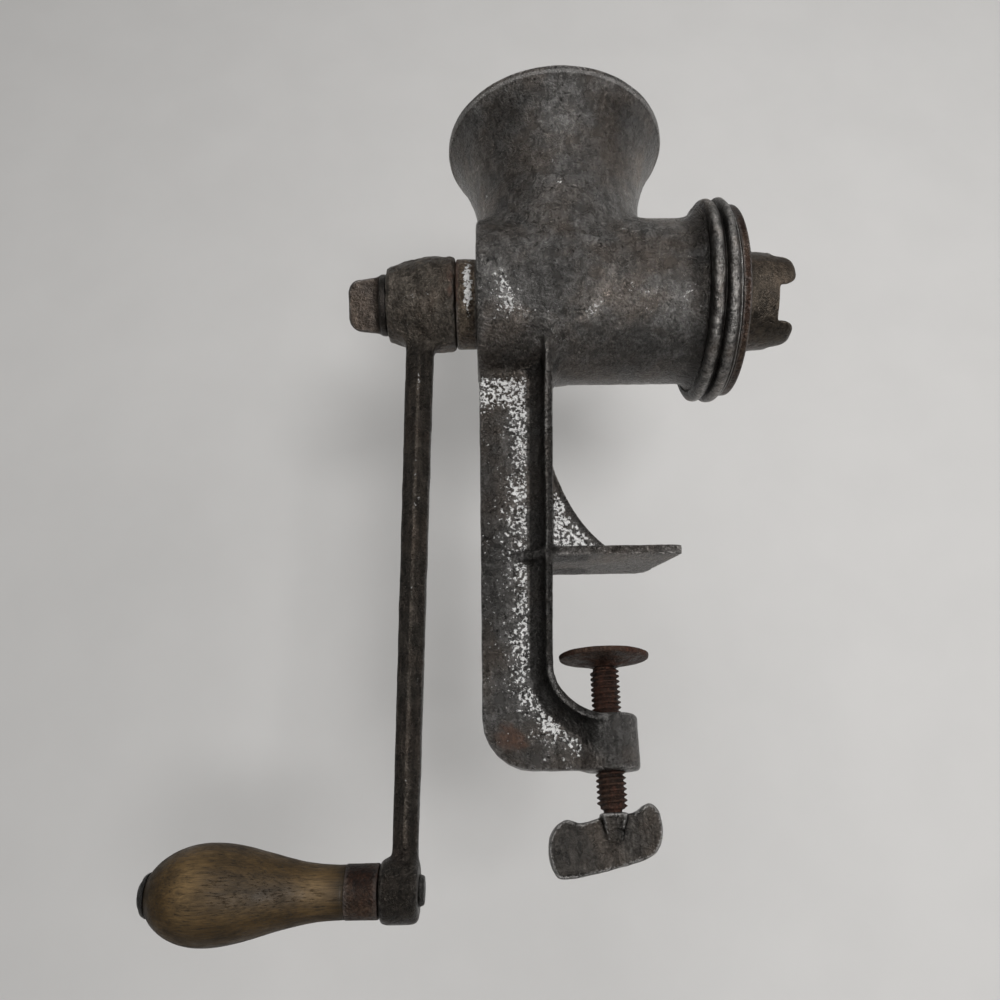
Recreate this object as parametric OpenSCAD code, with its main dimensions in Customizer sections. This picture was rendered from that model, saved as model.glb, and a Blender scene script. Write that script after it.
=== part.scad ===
// Manual meat grinder that clamps to the edge of a table.
// Frame: +Z up, +X towards the cutter, origin where the clamp screw's axis meets the table seat.

/* [Barrel] */
// Height of the barrel's axis above the table seat
axis_height = 112; // [100:1:130]
// Outside radius of the barrel
barrel_r = 33.1; // [30:0.1:36]
// Thickness of the barrel's wall
barrel_wall = 4.6; // [3.5:0.1:6]
// Distance of the rear wall's outer face behind the clamp screw's axis
barrel_back = 42.8; // [41:0.1:52]
// Distance of the mouth's face in front of the clamp screw's axis
barrel_front = 55.3; // [48:0.1:70]
// Thickness of the rear wall
rear_wall = 4.5; // [3:0.1:7]
// Rounding of the rear wall's outer edge
rear_round = 2; // [0.5:0.1:4]
// Length of the thickened mouth, from the start of its flare to the face
mouth_l = 16; // [14:0.1:20]
// Height of the mouth's thickening above the barrel
mouth_rise = 5.5; // [4:0.1:7]
// Radius of the mouth's rear bead
bead_rear_r = 2.2; // [1:0.1:2.4]
// Radius of the mouth's front bead
bead_front_r = 1.9; // [1.5:0.1:2.6]
// Gap between the two beads
bead_gap = 1.2; // [0.3:0.1:1.5]
// Width of the plain lip in front of the front bead
lip_w = 1; // [0.5:0.1:2]

/* [Hopper] */
// Distance of the hopper's axis behind the clamp screw's axis
hopper_back = 8.3; // [4:0.1:12]
// Outside radius of the hopper's mouth
hopper_r = 46.3; // [42:0.1:52]
// Height of the hopper's mouth above the barrel's axis
hopper_rise = 80.2; // [72:0.1:95]
// Outside radius of the hopper's neck
neck_r = 33.7; // [31:0.1:36]
// Height above the barrel's axis at which the neck starts to flare
neck_rise = 38; // [37:0.1:50]
// Thickness of the hopper's wall
hopper_wall = 4; // [3:0.1:5.5]
// How sharply the hopper flares towards its mouth
flare_power = 1.8; // [1.4:0.1:2.6]
// Height of the plain lip at the hopper's mouth
hopper_lip = 2.6; // [1.5:0.1:5]
// Depth below the barrel's axis at which the neck's belly ends
belly_drop = 22; // [18:0.5:24]
// Rounding of the belly's lower edge
belly_round = 12; // [8:0.5:14]

/* [Leg] */
// Distance of the leg's outer edge behind the clamp screw's axis
leg_back = 42.2; // [38:0.1:48]
// Distance from the clamp screw's axis to the inner face of the leg
throat = 17.2; // [16.6:0.1:20]
// Thickness of the leg's web
web_t = 7; // [5:0.1:9]
// Thickness of the flange along the leg's inner edge
flange_t = 2.6; // [2:0.1:4]
// Width of the flange
flange_w = 23; // [18:0.5:26]
// Radius of the fillet between web and flange
flange_fillet = 7; // [4:0.1:7.5]
// Width of the flange where it meets the barrel
head_w = 48; // [36:0.5:52]
// Height above the table seat at which the flange starts to widen
head_start = 30; // [20:1:45]
// Radius of the leg's inner bend
bend_r = 16; // [12:0.5:16.5]
// Radius of the leg's outer corner
corner_r = 17; // [10:0.5:20]
// Distance from the table seat down to the top of the lower arm
clamp_drop = 54; // [48:0.5:70]
// Height of the lower arm
arm_h = 17; // [14:0.5:20]
// Radius of the clamp boss
boss_r = 10; // [8.5:0.1:12]
// How far the boss stands proud of the arm above and below
boss_proud = 0.6; // [0.3:0.1:1.5]

/* [Table plate] */
// Thickness of the table plate
plate_t = 3.65; // [3:0.05:6]
// Width of the table plate
plate_w = 24; // [20:0.5:34]
// Distance of the plate's longer front corner from the clamp screw's axis
plate_reach = 28.8; // [24:0.1:40]
// How much shorter the plate is at its other front corner
plate_skew = 11; // [0:0.5:14]
// Length of the rounding at the plate's front corners
plate_corner = 2.5; // [1:0.5:6]
// Length of the tapered rib that carries the plate back onto the web
plate_tail = 10; // [8:0.5:14]
// Height of the gusset above the plate
gusset_h = 37; // [25:1:50]
// Length of the gusset along the plate
gusset_l = 24; // [15:1:30]
// Thickness of the gusset
gusset_t = 4.5; // [3:0.1:7]

/* [Shaft and cutter] */
// Radius of the shaft's journal in the rear bush
journal_r = 9.5; // [9.4:0.1:10.4]
// Outside radius of the rear bush
bush_r = 18; // [15:0.1:19]
// Length of the bush's collar behind the rear wall
bush_l = 8.2; // [5:0.1:12]
// Wall of the bush's spigot in the rear wall
bush_wall = 3.5; // [2:0.1:4.5]
// Thickness of the thrust washer
washer_t = 2; // [1:0.1:3]
// Width of the washer's ring round the journal
washer_w = 6; // [4:0.1:8]
// Width of the square tang in the crank hub
tang_w = 13; // [11:0.1:13.2]
// Radius of the feed screw's core
core_r = 11; // [10.5:0.1:14]
// Pitch of the feed screw's flight
flight_pitch = 32; // [24:1:40]
// Thickness of the flight at its root
flight_root_t = 7; // [5:0.1:10]
// Thickness of the flight at its edge
flight_tip_t = 3.5; // [2:0.1:5]
// Width of the square that drives the cutter
drive_w = 14; // [12:0.1:14.8]
// Radius of the threaded stud in front
stud_r = 6.5; // [5:0.1:6.9]
// Thickness of the cutter disc
disc_t = 3.3; // [2:0.1:5]
// How far the disc reaches beyond the barrel's wall
disc_over = 5; // [4:0.1:7]
// Radius of the disc's holes
hole_r = 2.8; // [1.5:0.1:3]
// Number of holes in the disc
hole_count = 14; // [8:1:16]

/* [Cutter nut] */
// Radius of the nut at the disc
nut_r = 21.2; // [18:0.1:22]
// Radius of the nut at the ends of its lobes
nut_end_r = 19.4; // [17:0.1:20]
// Length of the nut to the floor of its notches
nut_l = 17.7; // [12:0.1:20]
// Length of the lobes beyond that floor
lobe_l = 6.3; // [5:0.1:12]
// Width of the notches between the lobes
notch_w = 14; // [10:0.1:16]
// Turn of the lobes about the axis
nut_turn = 36; // [0:1:89]

/* [Crank] */
// Distance from the barrel's axis to the grip's axis
crank_r = 218.4; // [180:0.1:240]
// Radius of the hub's large end
hub_r = 19.2; // [16.5:0.1:21]
// Radius of the hub's small end
hub_end_r = 14.6; // [12.5:0.1:15]
// Length of the hub
hub_l = 27.5; // [24:0.1:34]
// Width of the arm at the hub
arm_top_w = 11.2; // [9:0.1:12.5]
// Width of the arm at the end boss
arm_end_w = 8; // [6:0.1:10]
// Depth of the arm at its ridge
arm_depth = 9.5; // [7:0.1:12]
// Depth of the arm at its edges
arm_edge = 5; // [3:0.1:6.5]
// Distance from the hub's inner face to the arm's outer edge
arm_offset = 19.9; // [17:0.1:22]
// Radius of the end boss
end_r = 9.7; // [8:0.1:12]
// Length of the end boss
end_l = 12.3; // [10:0.1:16]
// Distance of the end boss's outer face beyond the arm's outer edge
end_over = 3.5; // [2:0.1:5]

/* [Crank screw] */
// Radius of the thumb screw's collar
collar_r = 12.4; // [11:0.1:12.45]
// Thickness of the collar
collar_t = 2.8; // [2:0.1:5]
// Length of the spade head beyond the collar
spade_l = 13.2; // [10:0.1:20]
// Half the height of the spade head at the collar
spade_h = 11.4; // [8:0.1:12]
// Thickness of the spade head
spade_t = 5; // [3:0.1:8]
// Rounding of the spade head's outer corners
spade_round = 5; // [2:0.1:7]
// Turn of the spade head about the axis
spade_turn = 30; // [-90:1:90]
// Radius of the thumb screw's threaded shank
shank_r = 4.2; // [3:0.1:5]
// Length of the shank in the shaft
shank_l = 18; // [10:0.5:22]

/* [Grip] */
// Length of the wooden grip
grip_l = 61.2; // [50:0.1:90]
// Largest radius of the grip
grip_r = 15.2; // [12:0.1:18]
// Radius of the grip's neck at the ferrule
grip_neck_r = 8; // [7:0.1:9.5]
// Distance of the thickest place from the grip's outer end
grip_crown = 18.5; // [14:0.1:24]
// Radius of the grip's flat outer end
grip_end_r = 6.6; // [6:0.1:8]
// How slowly the neck swells into the thick end
grip_swell = 1.15; // [0.9:0.05:1.5]
// Length of the ferrule
ferrule_l = 10.4; // [6:0.1:16]
// Wall of the ferrule
ferrule_wall = 1.2; // [0.8:0.1:2]
// Radius of the spindle that carries the grip
spindle_r = 3.6; // [2.5:0.1:4.5]
// Radius of the spindle's peened inner head
peen_r = 4.8; // [4.6:0.1:6]
// Thickness of the peened inner head
peen_t = 1.6; // [1:0.1:3]
// Radius of the washer at the grip's outer end
end_washer_r = 6.9; // [6:0.1:9]
// Thickness of the washer at the grip's outer end
end_washer_t = 1.4; // [0.8:0.1:2.5]
// Radius of the spindle's domed outer head
dome_r = 5.4; // [4.6:0.1:5.9]
// Height of the domed outer head
dome_h = 1.2; // [1:0.1:3]

/* [Clamp] */
// Outside radius of the clamp screw's thread
thread_r = 5; // [4:0.1:6]
// Pitch of the thread
thread_pitch = 1.75; // [1.5:0.05:3]
// Depth of the thread
thread_depth = 1.05; // [0.5:0.05:1.2]
// Gap between the table seat and the pad as drawn
pad_gap = 32.7; // [28:0.1:36]
// Radius of the pad
pad_r = 15.6; // [12:0.1:20]
// Thickness of the pad's rim
pad_rim = 1.8; // [1.5:0.1:4]
// Height of the whole pad
pad_h = 4.5; // [4.4:0.1:8]
// Radius of the pad's underside at the screw
pad_hub_r = 5; // [4.6:0.1:9]
// Radius of the pin that the pad swivels on
pin_r = 3.2; // [2.5:0.1:3.4]
// Radius of the pin's peened head
pin_head_r = 4.8; // [4.2:0.1:5.4]
// Thickness of the pin's peened head
pin_head_t = 1.4; // [1:0.1:2]
// Gap between the boss and the wing as drawn
wing_gap = 10.3; // [6:0.1:20]
// Distance between the centres of the wing's two lobes
wing_span = 20.6; // [16:0.1:30]
// Radius of the wing's lobes
wing_lobe_r = 8.4; // [7:0.1:11]
// Height of the wing between its lobes
wing_mid = 15; // [13:0.1:16]
// Thickness of the wing
wing_t = 7.5; // [6:0.1:10]
// Distance of the wing's middle behind the screw's axis
wing_shift = 2.2; // [0:0.1:4]
// Tilt of the wing
wing_tilt = 8.5; // [0:0.5:12]
// Length of the tapered boss down the middle of the wing
wing_boss_l = 13; // [8:0.1:14]

/* [Clearances] */
// Radial clearance of a running fit
run_clear = 0.05; // [0.02:0.01:0.1]
// Clearance between parts that are fixed together
seat_clear = 0.05; // [0.02:0.01:0.1]
// Gap between faces that turn past each other
face_gap = 0.3; // [0.3:0.05:0.6]
// Gap between the flight and the bore of the barrel
flight_gap = 0.8; // [0.5:0.1:1.5]

/* [Hidden] */
$fn = 72;
cut = 1;

// Barrel and hopper
bore_r = barrel_r - barrel_wall;
mouth_r = barrel_r + mouth_rise;
flare_x = barrel_front - mouth_l;
bead_front_x = barrel_front - lip_w - bead_front_r;
bead_rear_x = bead_front_x - bead_front_r - bead_rear_r - bead_gap;
bead_step = 0.3;
throat_r = neck_r - hopper_wall;
rim_z = axis_height + hopper_rise;
neck_z = axis_height + neck_rise;
flare_steps = 8;

// Leg and clamp boss
arm_top_z = -clamp_drop;
arm_bottom_z = arm_top_z - arm_h;
boss_top_z = arm_top_z + boss_proud;
boss_bottom_z = arm_bottom_z - boss_proud;
boss_round = 1.5;
leg_reach = 0.55;
barrel_dip_z = axis_height - barrel_r * leg_reach;
blend_inset = 0.3;
head_curve = 8;
sunk = 1;
clamp_bore_r = thread_r + run_clear;

// Places along the shaft
wall_in_x = -barrel_back + rear_wall;
washer_x = wall_in_x + face_gap;
screw_x = washer_x + washer_t + face_gap;
bush_x = -barrel_back - bush_l;
hub_x = bush_x - face_gap;
hub_end_x = hub_x - hub_l;
tang_gap = 2;
tang_end_x = hub_end_x + tang_gap;
spigot_r = journal_r + run_clear + bush_wall;
flight_r = bore_r - flight_gap;
disc_x = barrel_front + face_gap;
nut_x = disc_x + disc_t;
nut_floor_x = nut_x + nut_l;
lobe_end_x = nut_floor_x + lobe_l;
core_end_x = barrel_front - face_gap;
stud_short = 2;
stud_end_x = nut_floor_x - stud_short;
flight_root_r = core_r - sunk;
flight_x = screw_x + flight_root_t / 2 + sunk;
flight_l = core_end_x - flight_x - flight_root_t / 2 - sunk;
disc_r = barrel_r + disc_over;

// Places along the grip
grip_z = axis_height - crank_r;
arm_out_x = hub_x - arm_offset;
end_out_x = arm_out_x - end_over;
end_in_x = end_out_x + end_l;
ferrule_x = end_out_x - face_gap;
neck_x = ferrule_x - ferrule_l;
grip_tip_x = neck_x - grip_l;
end_washer_x = grip_tip_x - face_gap;
dome_x = end_washer_x - end_washer_t;

// Heights along the clamp screw
pad_top_z = -pad_gap;
pad_bottom_z = pad_top_z - pad_h;
thread_top_z = pad_bottom_z - face_gap;
wing_rise = wing_span / 2 * sin(wing_tilt) + wing_lobe_r;
wing_z = boss_bottom_z - wing_gap - wing_rise;
wing_top_z = wing_z + wing_mid / 2;
thread_start_z = wing_top_z + thread_r * tan(wing_tilt) + face_gap;
root_r = thread_r - thread_depth;
stem_step = 0.2;
stem_r = root_r - stem_step;
stem_l = 9;

function arc(cx, cy, r, a0, a1, n = 6) =
    [for (i = [0:n]) let (a = a0 + (a1 - a0) * i / n) [cx + r * cos(a), cy + r * sin(a)]];

function bend(p0, p1, p2, n = 8) =
    [for (i = [0:n]) let (t = i / n) p0 * (1 - t) * (1 - t) + p1 * 2 * t * (1 - t) + p2 * t * t];

function mirrored(points) =
    concat(points, [for (i = [len(points) - 1:-1:0]) [points[i][0], -points[i][1]]]);

// Turns a shape made about the Z axis so that it lies about the X axis at a height
module along_x(z) {
    translate([0, 0, z])
        rotate([0, 90, 0])
            children();
}

// A plate drawn in X and Z, centred on the middle plane
module upright(t) {
    rotate([90, 0, 0])
        linear_extrude(t, center = true)
            children();
}

module barrel_outside() {
    along_x(axis_height)
        rotate_extrude()
            polygon(concat(
                [[0, -barrel_back]],
                arc(barrel_r - rear_round, rear_round - barrel_back, rear_round, -90, 0),
                arc(mouth_r, flare_x, mouth_rise, 180, 95),
                arc(mouth_r - bead_step, bead_rear_x, bead_rear_r, -75, 75),
                arc(mouth_r, bead_front_x, bead_front_r, -75, 75),
                [[mouth_r, barrel_front], [0, barrel_front]]));
}

// Outline of the hopper's wall above the neck, moved inwards by a thickness
function flare(inset) =
    [for (i = [0:flare_steps]) let (t = i / flare_steps)
        [neck_r - inset + (hopper_r - neck_r) * pow(t, flare_power),
         neck_z + (rim_z - hopper_lip - neck_z) * t]];

module hopper_outside() {
    translate([-hopper_back, 0, 0])
        rotate_extrude()
            polygon(concat(
                [[0, axis_height - belly_drop]],
                arc(neck_r - belly_round, axis_height - belly_drop + belly_round, belly_round, -80, 0),
                flare(0),
                [[hopper_r, rim_z], [0, rim_z]]));
}

module hopper_inside() {
    translate([-hopper_back, 0, 0])
        rotate_extrude()
            polygon(concat(
                [[0, axis_height], [throat_r, axis_height]],
                flare(hopper_wall),
                [[hopper_r - hopper_wall, rim_z + cut], [0, rim_z + cut]]));
}

// Section of the flange: depth from the inner face, and distance from the middle plane
function flange_section(x, s) =
    mirrored(concat(
        [[x, flange_w / 2], [x + s * flange_t, flange_w / 2]],
        [for (p = arc(flange_t + flange_fillet, web_t / 2 + flange_fillet, flange_fillet, 180, 265))
            [x + s * p[0], p[1]]]));

module leg_web() {
    depth = flange_t / 2;
    upright(web_t)
        polygon(concat(
            [[-leg_back, barrel_dip_z]],
            arc(corner_r - leg_back, arm_bottom_z + corner_r, corner_r, 180, 270),
            [[0, arm_bottom_z], [0, arm_top_z - depth]],
            arc(bend_r - throat, arm_top_z + bend_r, bend_r + depth, 270, 180),
            [[-throat - depth, barrel_dip_z]]));
}

// The flange runs down the leg, round its bend and, a little narrower, into the clamp boss
module leg_flange() {
    translate([0, 0, arm_top_z + bend_r])
        linear_extrude(barrel_dip_z - arm_top_z - bend_r)
            polygon(flange_section(-throat, -1));
    translate([bend_r - throat, 0, arm_top_z + bend_r])
        rotate([90, 0, 0])
            rotate([0, 0, 180])
                rotate_extrude(angle = 90)
                    polygon(flange_section(bend_r, 1));
    translate([bend_r - throat, sunk - boss_r, arm_top_z - flange_t])
        cube([throat - bend_r, 2 * (boss_r - sunk), flange_t - blend_inset]);
}

// The flange widens to the sides of the barrel that it carries
module leg_head() {
    side = head_w / 2;
    top_z = axis_height - sqrt(pow(barrel_r, 2) - pow(side, 2)) + sunk;
    half = bend([head_start, flange_w / 2 - sunk],
                [(head_start + top_z) / 2 + head_curve, flange_w / 2],
                [top_z, side]);
    translate([-throat - flange_t - blend_inset, 0, 0])
        rotate([0, -90, 0])
            mirror([0, 0, 1])
                linear_extrude(flange_t)
                    polygon(mirrored(half));
}

module table_plate() {
    side = plate_w / 2;
    tail = web_t / 2 - sunk;
    long = [plate_reach, -side];
    short = [plate_reach - plate_skew, side];
    slant = plate_corner * (short - long) / norm(short - long);
    along = [plate_corner, 0];
    linear_extrude(plate_t)
        polygon(concat(
            [[-throat, side], [-throat - plate_tail, tail], [-throat - plate_tail, -tail], [-throat, -side]],
            bend(long - along, long, long + slant),
            bend(short - slant, short, short - along)));
}

module gusset() {
    foot = [gusset_l - throat, plate_t];
    head = [-throat, plate_t + gusset_h];
    root = -throat - flange_t / 2;
    hollow = [0.33 * gusset_l - throat, plate_t + 0.28 * gusset_h];
    upright(gusset_t)
        polygon(concat(
            [[root, plate_t / 2], [foot[0], plate_t / 2]],
            bend(foot, hollow, head),
            [[root, plate_t + gusset_h]]));
}

module clamp_boss() {
    rotate_extrude()
        polygon(concat(
            [[0, boss_bottom_z]],
            arc(boss_r - boss_round, boss_bottom_z + boss_round, boss_round, -90, 0),
            arc(boss_r - boss_round, boss_top_z - boss_round, boss_round, 0, 90),
            [[0, boss_top_z]]));
}

module body_casting() {
    color("dimgray")
        difference() {
            union() {
                barrel_outside();
                hopper_outside();
                leg_web();
                leg_flange();
                leg_head();
                table_plate();
                gusset();
                clamp_boss();
            }
            hopper_inside();
            along_x(axis_height)
                translate([0, 0, wall_in_x])
                    cylinder(h = barrel_front - wall_in_x + cut, r = bore_r);
            along_x(axis_height)
                translate([0, 0, -barrel_back - cut])
                    cylinder(h = rear_wall + 2 * cut, r = spigot_r + seat_clear);
            translate([0, 0, boss_bottom_z - cut])
                cylinder(h = boss_top_z - boss_bottom_z + 2 * cut, r = clamp_bore_r);
        }
}

module rear_bush() {
    color("sienna")
        along_x(axis_height)
            difference() {
                union() {
                    translate([0, 0, bush_x])
                        cylinder(h = bush_l, r = bush_r);
                    translate([0, 0, bush_x])
                        cylinder(h = bush_l + rear_wall, r = spigot_r);
                }
                translate([0, 0, bush_x - cut])
                    cylinder(h = bush_l + rear_wall + 2 * cut, r = journal_r + run_clear);
            }
}

module thrust_washer() {
    color("saddlebrown")
        along_x(axis_height)
            translate([0, 0, washer_x])
                difference() {
                    cylinder(h = washer_t, r = journal_r + washer_w);
                    translate([0, 0, -cut])
                        cylinder(h = washer_t + 2 * cut, r = journal_r + run_clear);
                }
}

// A square bar along the X axis
module square_bar(w, x0, x1) {
    translate([x0, -w / 2, axis_height - w / 2])
        cube([x1 - x0, w, w]);
}

// Four corners of the flight's section at a turn: it runs left-handed, so that turning the crank
// clockwise drives the food forwards
function flight_ring(turn) =
    let (a = -360 * turn, z = flight_x + flight_pitch * turn)
    [for (p = [[flight_root_r, -flight_root_t], [flight_r, -flight_tip_t],
               [flight_r, flight_tip_t], [flight_root_r, flight_root_t]])
        [p[0] * cos(a), p[0] * sin(a), z + p[1] / 2]];

module flight() {
    turns = flight_l / flight_pitch;
    steps = ceil(turns * 24);
    points = [for (i = [0:steps]) each flight_ring(turns * i / steps)];
    sides = [for (i = [0:steps - 1], j = [0:3]) let (k = (j + 1) % 4, n = 4 * i)
        each [[n + j, n + 4 + j, n + k], [n + k, n + 4 + j, n + 4 + k]]];
    polyhedron(points, concat(
        [[0, 1, 2], [0, 2, 3]],
        sides,
        [[4 * steps, 4 * steps + 2, 4 * steps + 1], [4 * steps, 4 * steps + 3, 4 * steps + 2]]));
}

module feed_screw() {
    color("gray")
        difference() {
            union() {
                along_x(axis_height) {
                    translate([0, 0, screw_x])
                        cylinder(h = core_end_x - screw_x, r = core_r);
                    translate([0, 0, hub_x])
                        cylinder(h = screw_x - hub_x + cut, r = journal_r);
                    translate([0, 0, core_end_x - cut])
                        cylinder(h = stud_end_x - core_end_x + cut, r = stud_r);
                    flight();
                }
                square_bar(tang_w, tang_end_x, hub_x + cut);
                square_bar(drive_w, core_end_x - cut, nut_x - seat_clear);
            }
            along_x(axis_height)
                translate([0, 0, tang_end_x - cut])
                    cylinder(h = shank_l + 2 * cut, r = shank_r + seat_clear);
        }
}

module cutter_disc() {
    hole_ring_r = (nut_r + bore_r) / 2;
    color("saddlebrown")
        difference() {
            along_x(axis_height)
                translate([0, 0, disc_x])
                    difference() {
                        cylinder(h = disc_t, r = disc_r);
                        for (i = [0:hole_count - 1])
                            rotate(i * 360 / hole_count)
                                translate([hole_ring_r, 0, -cut])
                                    cylinder(h = disc_t + 2 * cut, r = hole_r);
                    }
            square_bar(drive_w + 2 * seat_clear, disc_x - cut, nut_x + cut);
        }
}

module cutter_nut() {
    lobe_round = 3;
    color("saddlebrown")
        along_x(axis_height)
            difference() {
                rotate_extrude()
                    polygon(concat(
                        [[0, nut_x], [nut_r, nut_x]],
                        arc(nut_end_r - lobe_round, lobe_end_x - lobe_round, lobe_round, 0, 90),
                        [[0, lobe_end_x]]));
                for (i = [0:1])
                    rotate(nut_turn + 90 * i)
                        translate([-notch_w / 2, -nut_r, nut_floor_x])
                            cube([notch_w, 2 * nut_r, lobe_l + cut]);
                translate([0, 0, nut_x - cut])
                    cylinder(h = nut_l + 2 * cut, r = stud_r + seat_clear);
            }
}

// Six-sided section of the arm at a height: flat edges and a ridge down the middle of each face
function arm_ring(x0, x1, z) =
    let (xm = (x0 + x1) / 2)
    [[x0, -arm_edge / 2, z], [xm, -arm_depth / 2, z], [x1, -arm_edge / 2, z],
     [x1, arm_edge / 2, z], [xm, arm_depth / 2, z], [x0, arm_edge / 2, z]];

module crank_bar() {
    sides = 6;
    top_z = axis_height - hub_end_r / 2;
    points = concat(
        arm_ring(arm_out_x, arm_out_x + arm_end_w, grip_z),
        arm_ring(arm_out_x, arm_out_x + arm_top_w, top_z));
    walls = [for (i = [0:sides - 1]) let (j = (i + 1) % sides) [i, i + sides, j + sides, j]];
    polyhedron(points, concat(
        walls,
        [[for (i = [0:sides - 1]) i]],
        [[for (i = [sides - 1:-1:0]) i + sides]]));
}

module crank_arm() {
    edge = 1.8;
    end_round = 2;
    bell = [hub_r, hub_x - 0.4 * hub_l];
    shoulder = [hub_r - 1, hub_end_x + 0.3 * hub_l];
    color("dimgray")
        difference() {
            union() {
                along_x(axis_height)
                    rotate_extrude()
                        polygon(concat(
                            [[0, hub_end_x]],
                            bend([hub_end_r, hub_end_x], shoulder, bell),
                            arc(hub_r - edge, hub_x - edge, edge, 0, 90),
                            [[0, hub_x]]));
                crank_bar();
                along_x(grip_z)
                    rotate_extrude()
                        polygon(concat(
                            [[0, end_out_x]],
                            arc(end_r - end_round, end_out_x + end_round, end_round, -90, 0),
                            arc(end_r - end_round, end_in_x - end_round, end_round, 0, 90),
                            [[0, end_in_x]]));
            }
            square_bar(tang_w + 2 * seat_clear, hub_end_x - cut, hub_x + cut);
            along_x(grip_z)
                translate([0, 0, end_out_x - cut])
                    cylinder(h = end_l + 2 * cut, r = spindle_r + seat_clear);
        }
}

module crank_screw() {
    taper = 1;
    tip = spade_h - taper;
    collar_x = hub_end_x - seat_clear;
    head_x = collar_x - collar_t;
    color("sienna")
        union() {
            along_x(axis_height) {
                translate([0, 0, head_x])
                    cylinder(h = collar_t, r = collar_r);
                translate([0, 0, head_x])
                    cylinder(h = collar_t + tang_gap + shank_l, r = shank_r);
            }
            translate([0, 0, axis_height])
                rotate([spade_turn, 0, 0])
                    upright(spade_t)
                        polygon(mirrored(concat(
                            [[head_x + collar_t / 2, spade_h]],
                            arc(head_x - spade_l + spade_round, tip - spade_round, spade_round, 90, 180))));
        }
}

module grip_spindle() {
    top_x = dome_x - dome_h;
    peen_x = end_in_x + seat_clear;
    peen_top_r = 0.8 * peen_r;
    color("dimgray")
        along_x(grip_z)
            rotate_extrude()
                polygon(concat(
                    bend([0, top_x], [0.9 * dome_r, top_x], [dome_r, dome_x]),
                    [[spindle_r, dome_x], [spindle_r, peen_x], [peen_r, peen_x],
                     [peen_top_r, peen_x + peen_t], [0, peen_x + peen_t]]));
}

// Radius of the grip at a distance from its neck
function grip_profile(s) =
    let (crown = grip_l - grip_crown)
    s < crown
        ? grip_neck_r + (grip_r - grip_neck_r) * (1 - cos(180 * pow(s / crown, grip_swell))) / 2
        : let (k = sqrt(1 - pow(grip_end_r / grip_r, 2)) * (s - crown) / grip_crown)
          grip_r * sqrt(1 - k * k);

module grip() {
    steps = 28;
    color("peru")
        along_x(grip_z)
            difference() {
                rotate_extrude()
                    polygon(concat(
                        [[0, grip_tip_x]],
                        [for (i = [steps:-1:0]) let (s = grip_l * i / steps) [grip_profile(s), neck_x - s]],
                        [[grip_neck_r - ferrule_wall, neck_x],
                         [grip_neck_r - ferrule_wall, ferrule_x - seat_clear],
                         [0, ferrule_x - seat_clear]]));
                translate([0, 0, grip_tip_x - cut])
                    cylinder(h = grip_l + ferrule_l + 2 * cut, r = spindle_r + run_clear);
            }
}

module grip_ferrule() {
    inside_r = grip_neck_r - ferrule_wall + seat_clear;
    proud = 0.2;
    color("saddlebrown")
        along_x(grip_z)
            translate([0, 0, neck_x + seat_clear])
                difference() {
                    cylinder(h = ferrule_l - seat_clear, r = grip_neck_r + proud);
                    translate([0, 0, -cut])
                        cylinder(h = ferrule_l + 2 * cut, r = inside_r);
                }
}

module grip_end_washer() {
    dish = 0.7;
    color("dimgray")
        along_x(grip_z)
            translate([0, 0, dome_x])
                difference() {
                    cylinder(h = end_washer_t, r1 = end_washer_r - dish, r2 = end_washer_r);
                    translate([0, 0, -cut])
                        cylinder(h = end_washer_t + 2 * cut, r = spindle_r + seat_clear);
                }
}

// Profile of the thread's ridges between two heights: two flanks, a crest and a root in each pitch
function thread_points(z0, z1) =
    let (flank = 0.35 * thread_pitch, crest = 0.2 * thread_pitch)
    [for (i = [0:floor((z1 - z0) / thread_pitch) - 1]) let (z = z0 + i * thread_pitch)
        each [[root_r, z], [thread_r, z + flank],
              [thread_r, z + flank + crest], [root_r, z + 2 * flank + crest]]];

module clamp_screw() {
    head_z = pad_top_z - face_gap;
    color("saddlebrown")
        rotate_extrude()
            polygon(concat(
                [[0, wing_top_z - stem_l], [stem_r, wing_top_z - stem_l], [stem_r, wing_top_z]],
                thread_points(thread_start_z, thread_top_z),
                [[root_r, thread_top_z], [pin_r, thread_top_z],
                 [pin_r, head_z - pin_head_t], [pin_head_r, head_z - pin_head_t],
                 [pin_head_r, head_z], [0, head_z]]));
}

module clamp_pad() {
    recess_r = pin_head_r + face_gap;
    recess_h = pin_head_t + 2 * face_gap;
    color("saddlebrown")
        difference() {
            rotate_extrude()
                polygon([[0, pad_bottom_z], [pad_hub_r, pad_bottom_z],
                         [pad_r, pad_top_z - pad_rim], [pad_r, pad_top_z], [0, pad_top_z]]);
            translate([0, 0, pad_bottom_z - cut])
                cylinder(h = pad_h + 2 * cut, r = pin_r + run_clear);
            translate([0, 0, pad_top_z - recess_h])
                cylinder(h = recess_h + cut, r = recess_r);
        }
}

module clamp_wing() {
    boss_tip_r = 1;
    boss_wall = 0.4;
    color("gray")
        difference() {
            union() {
                translate([-wing_shift, 0, wing_z])
                    rotate([0, -wing_tilt, 0]) {
                        for (side = [-1, 1])
                            translate([side * wing_span / 2, 0, 0])
                                upright(wing_t)
                                    circle(wing_lobe_r);
                        upright(wing_t)
                            square([wing_span, wing_mid], center = true);
                    }
                translate([0, 0, wing_top_z - wing_boss_l])
                    cylinder(h = wing_boss_l, r1 = boss_tip_r, r2 = thread_r + boss_wall);
            }
            translate([0, 0, wing_top_z - stem_l - seat_clear])
                cylinder(h = stem_l + wing_lobe_r, r = stem_r + seat_clear);
        }
}

body_casting();
rear_bush();
thrust_washer();
feed_screw();
cutter_disc();
cutter_nut();
crank_arm();
crank_screw();
grip_spindle();
grip();
grip_ferrule();
grip_end_washer();
clamp_screw();
clamp_pad();
clamp_wing();
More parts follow.
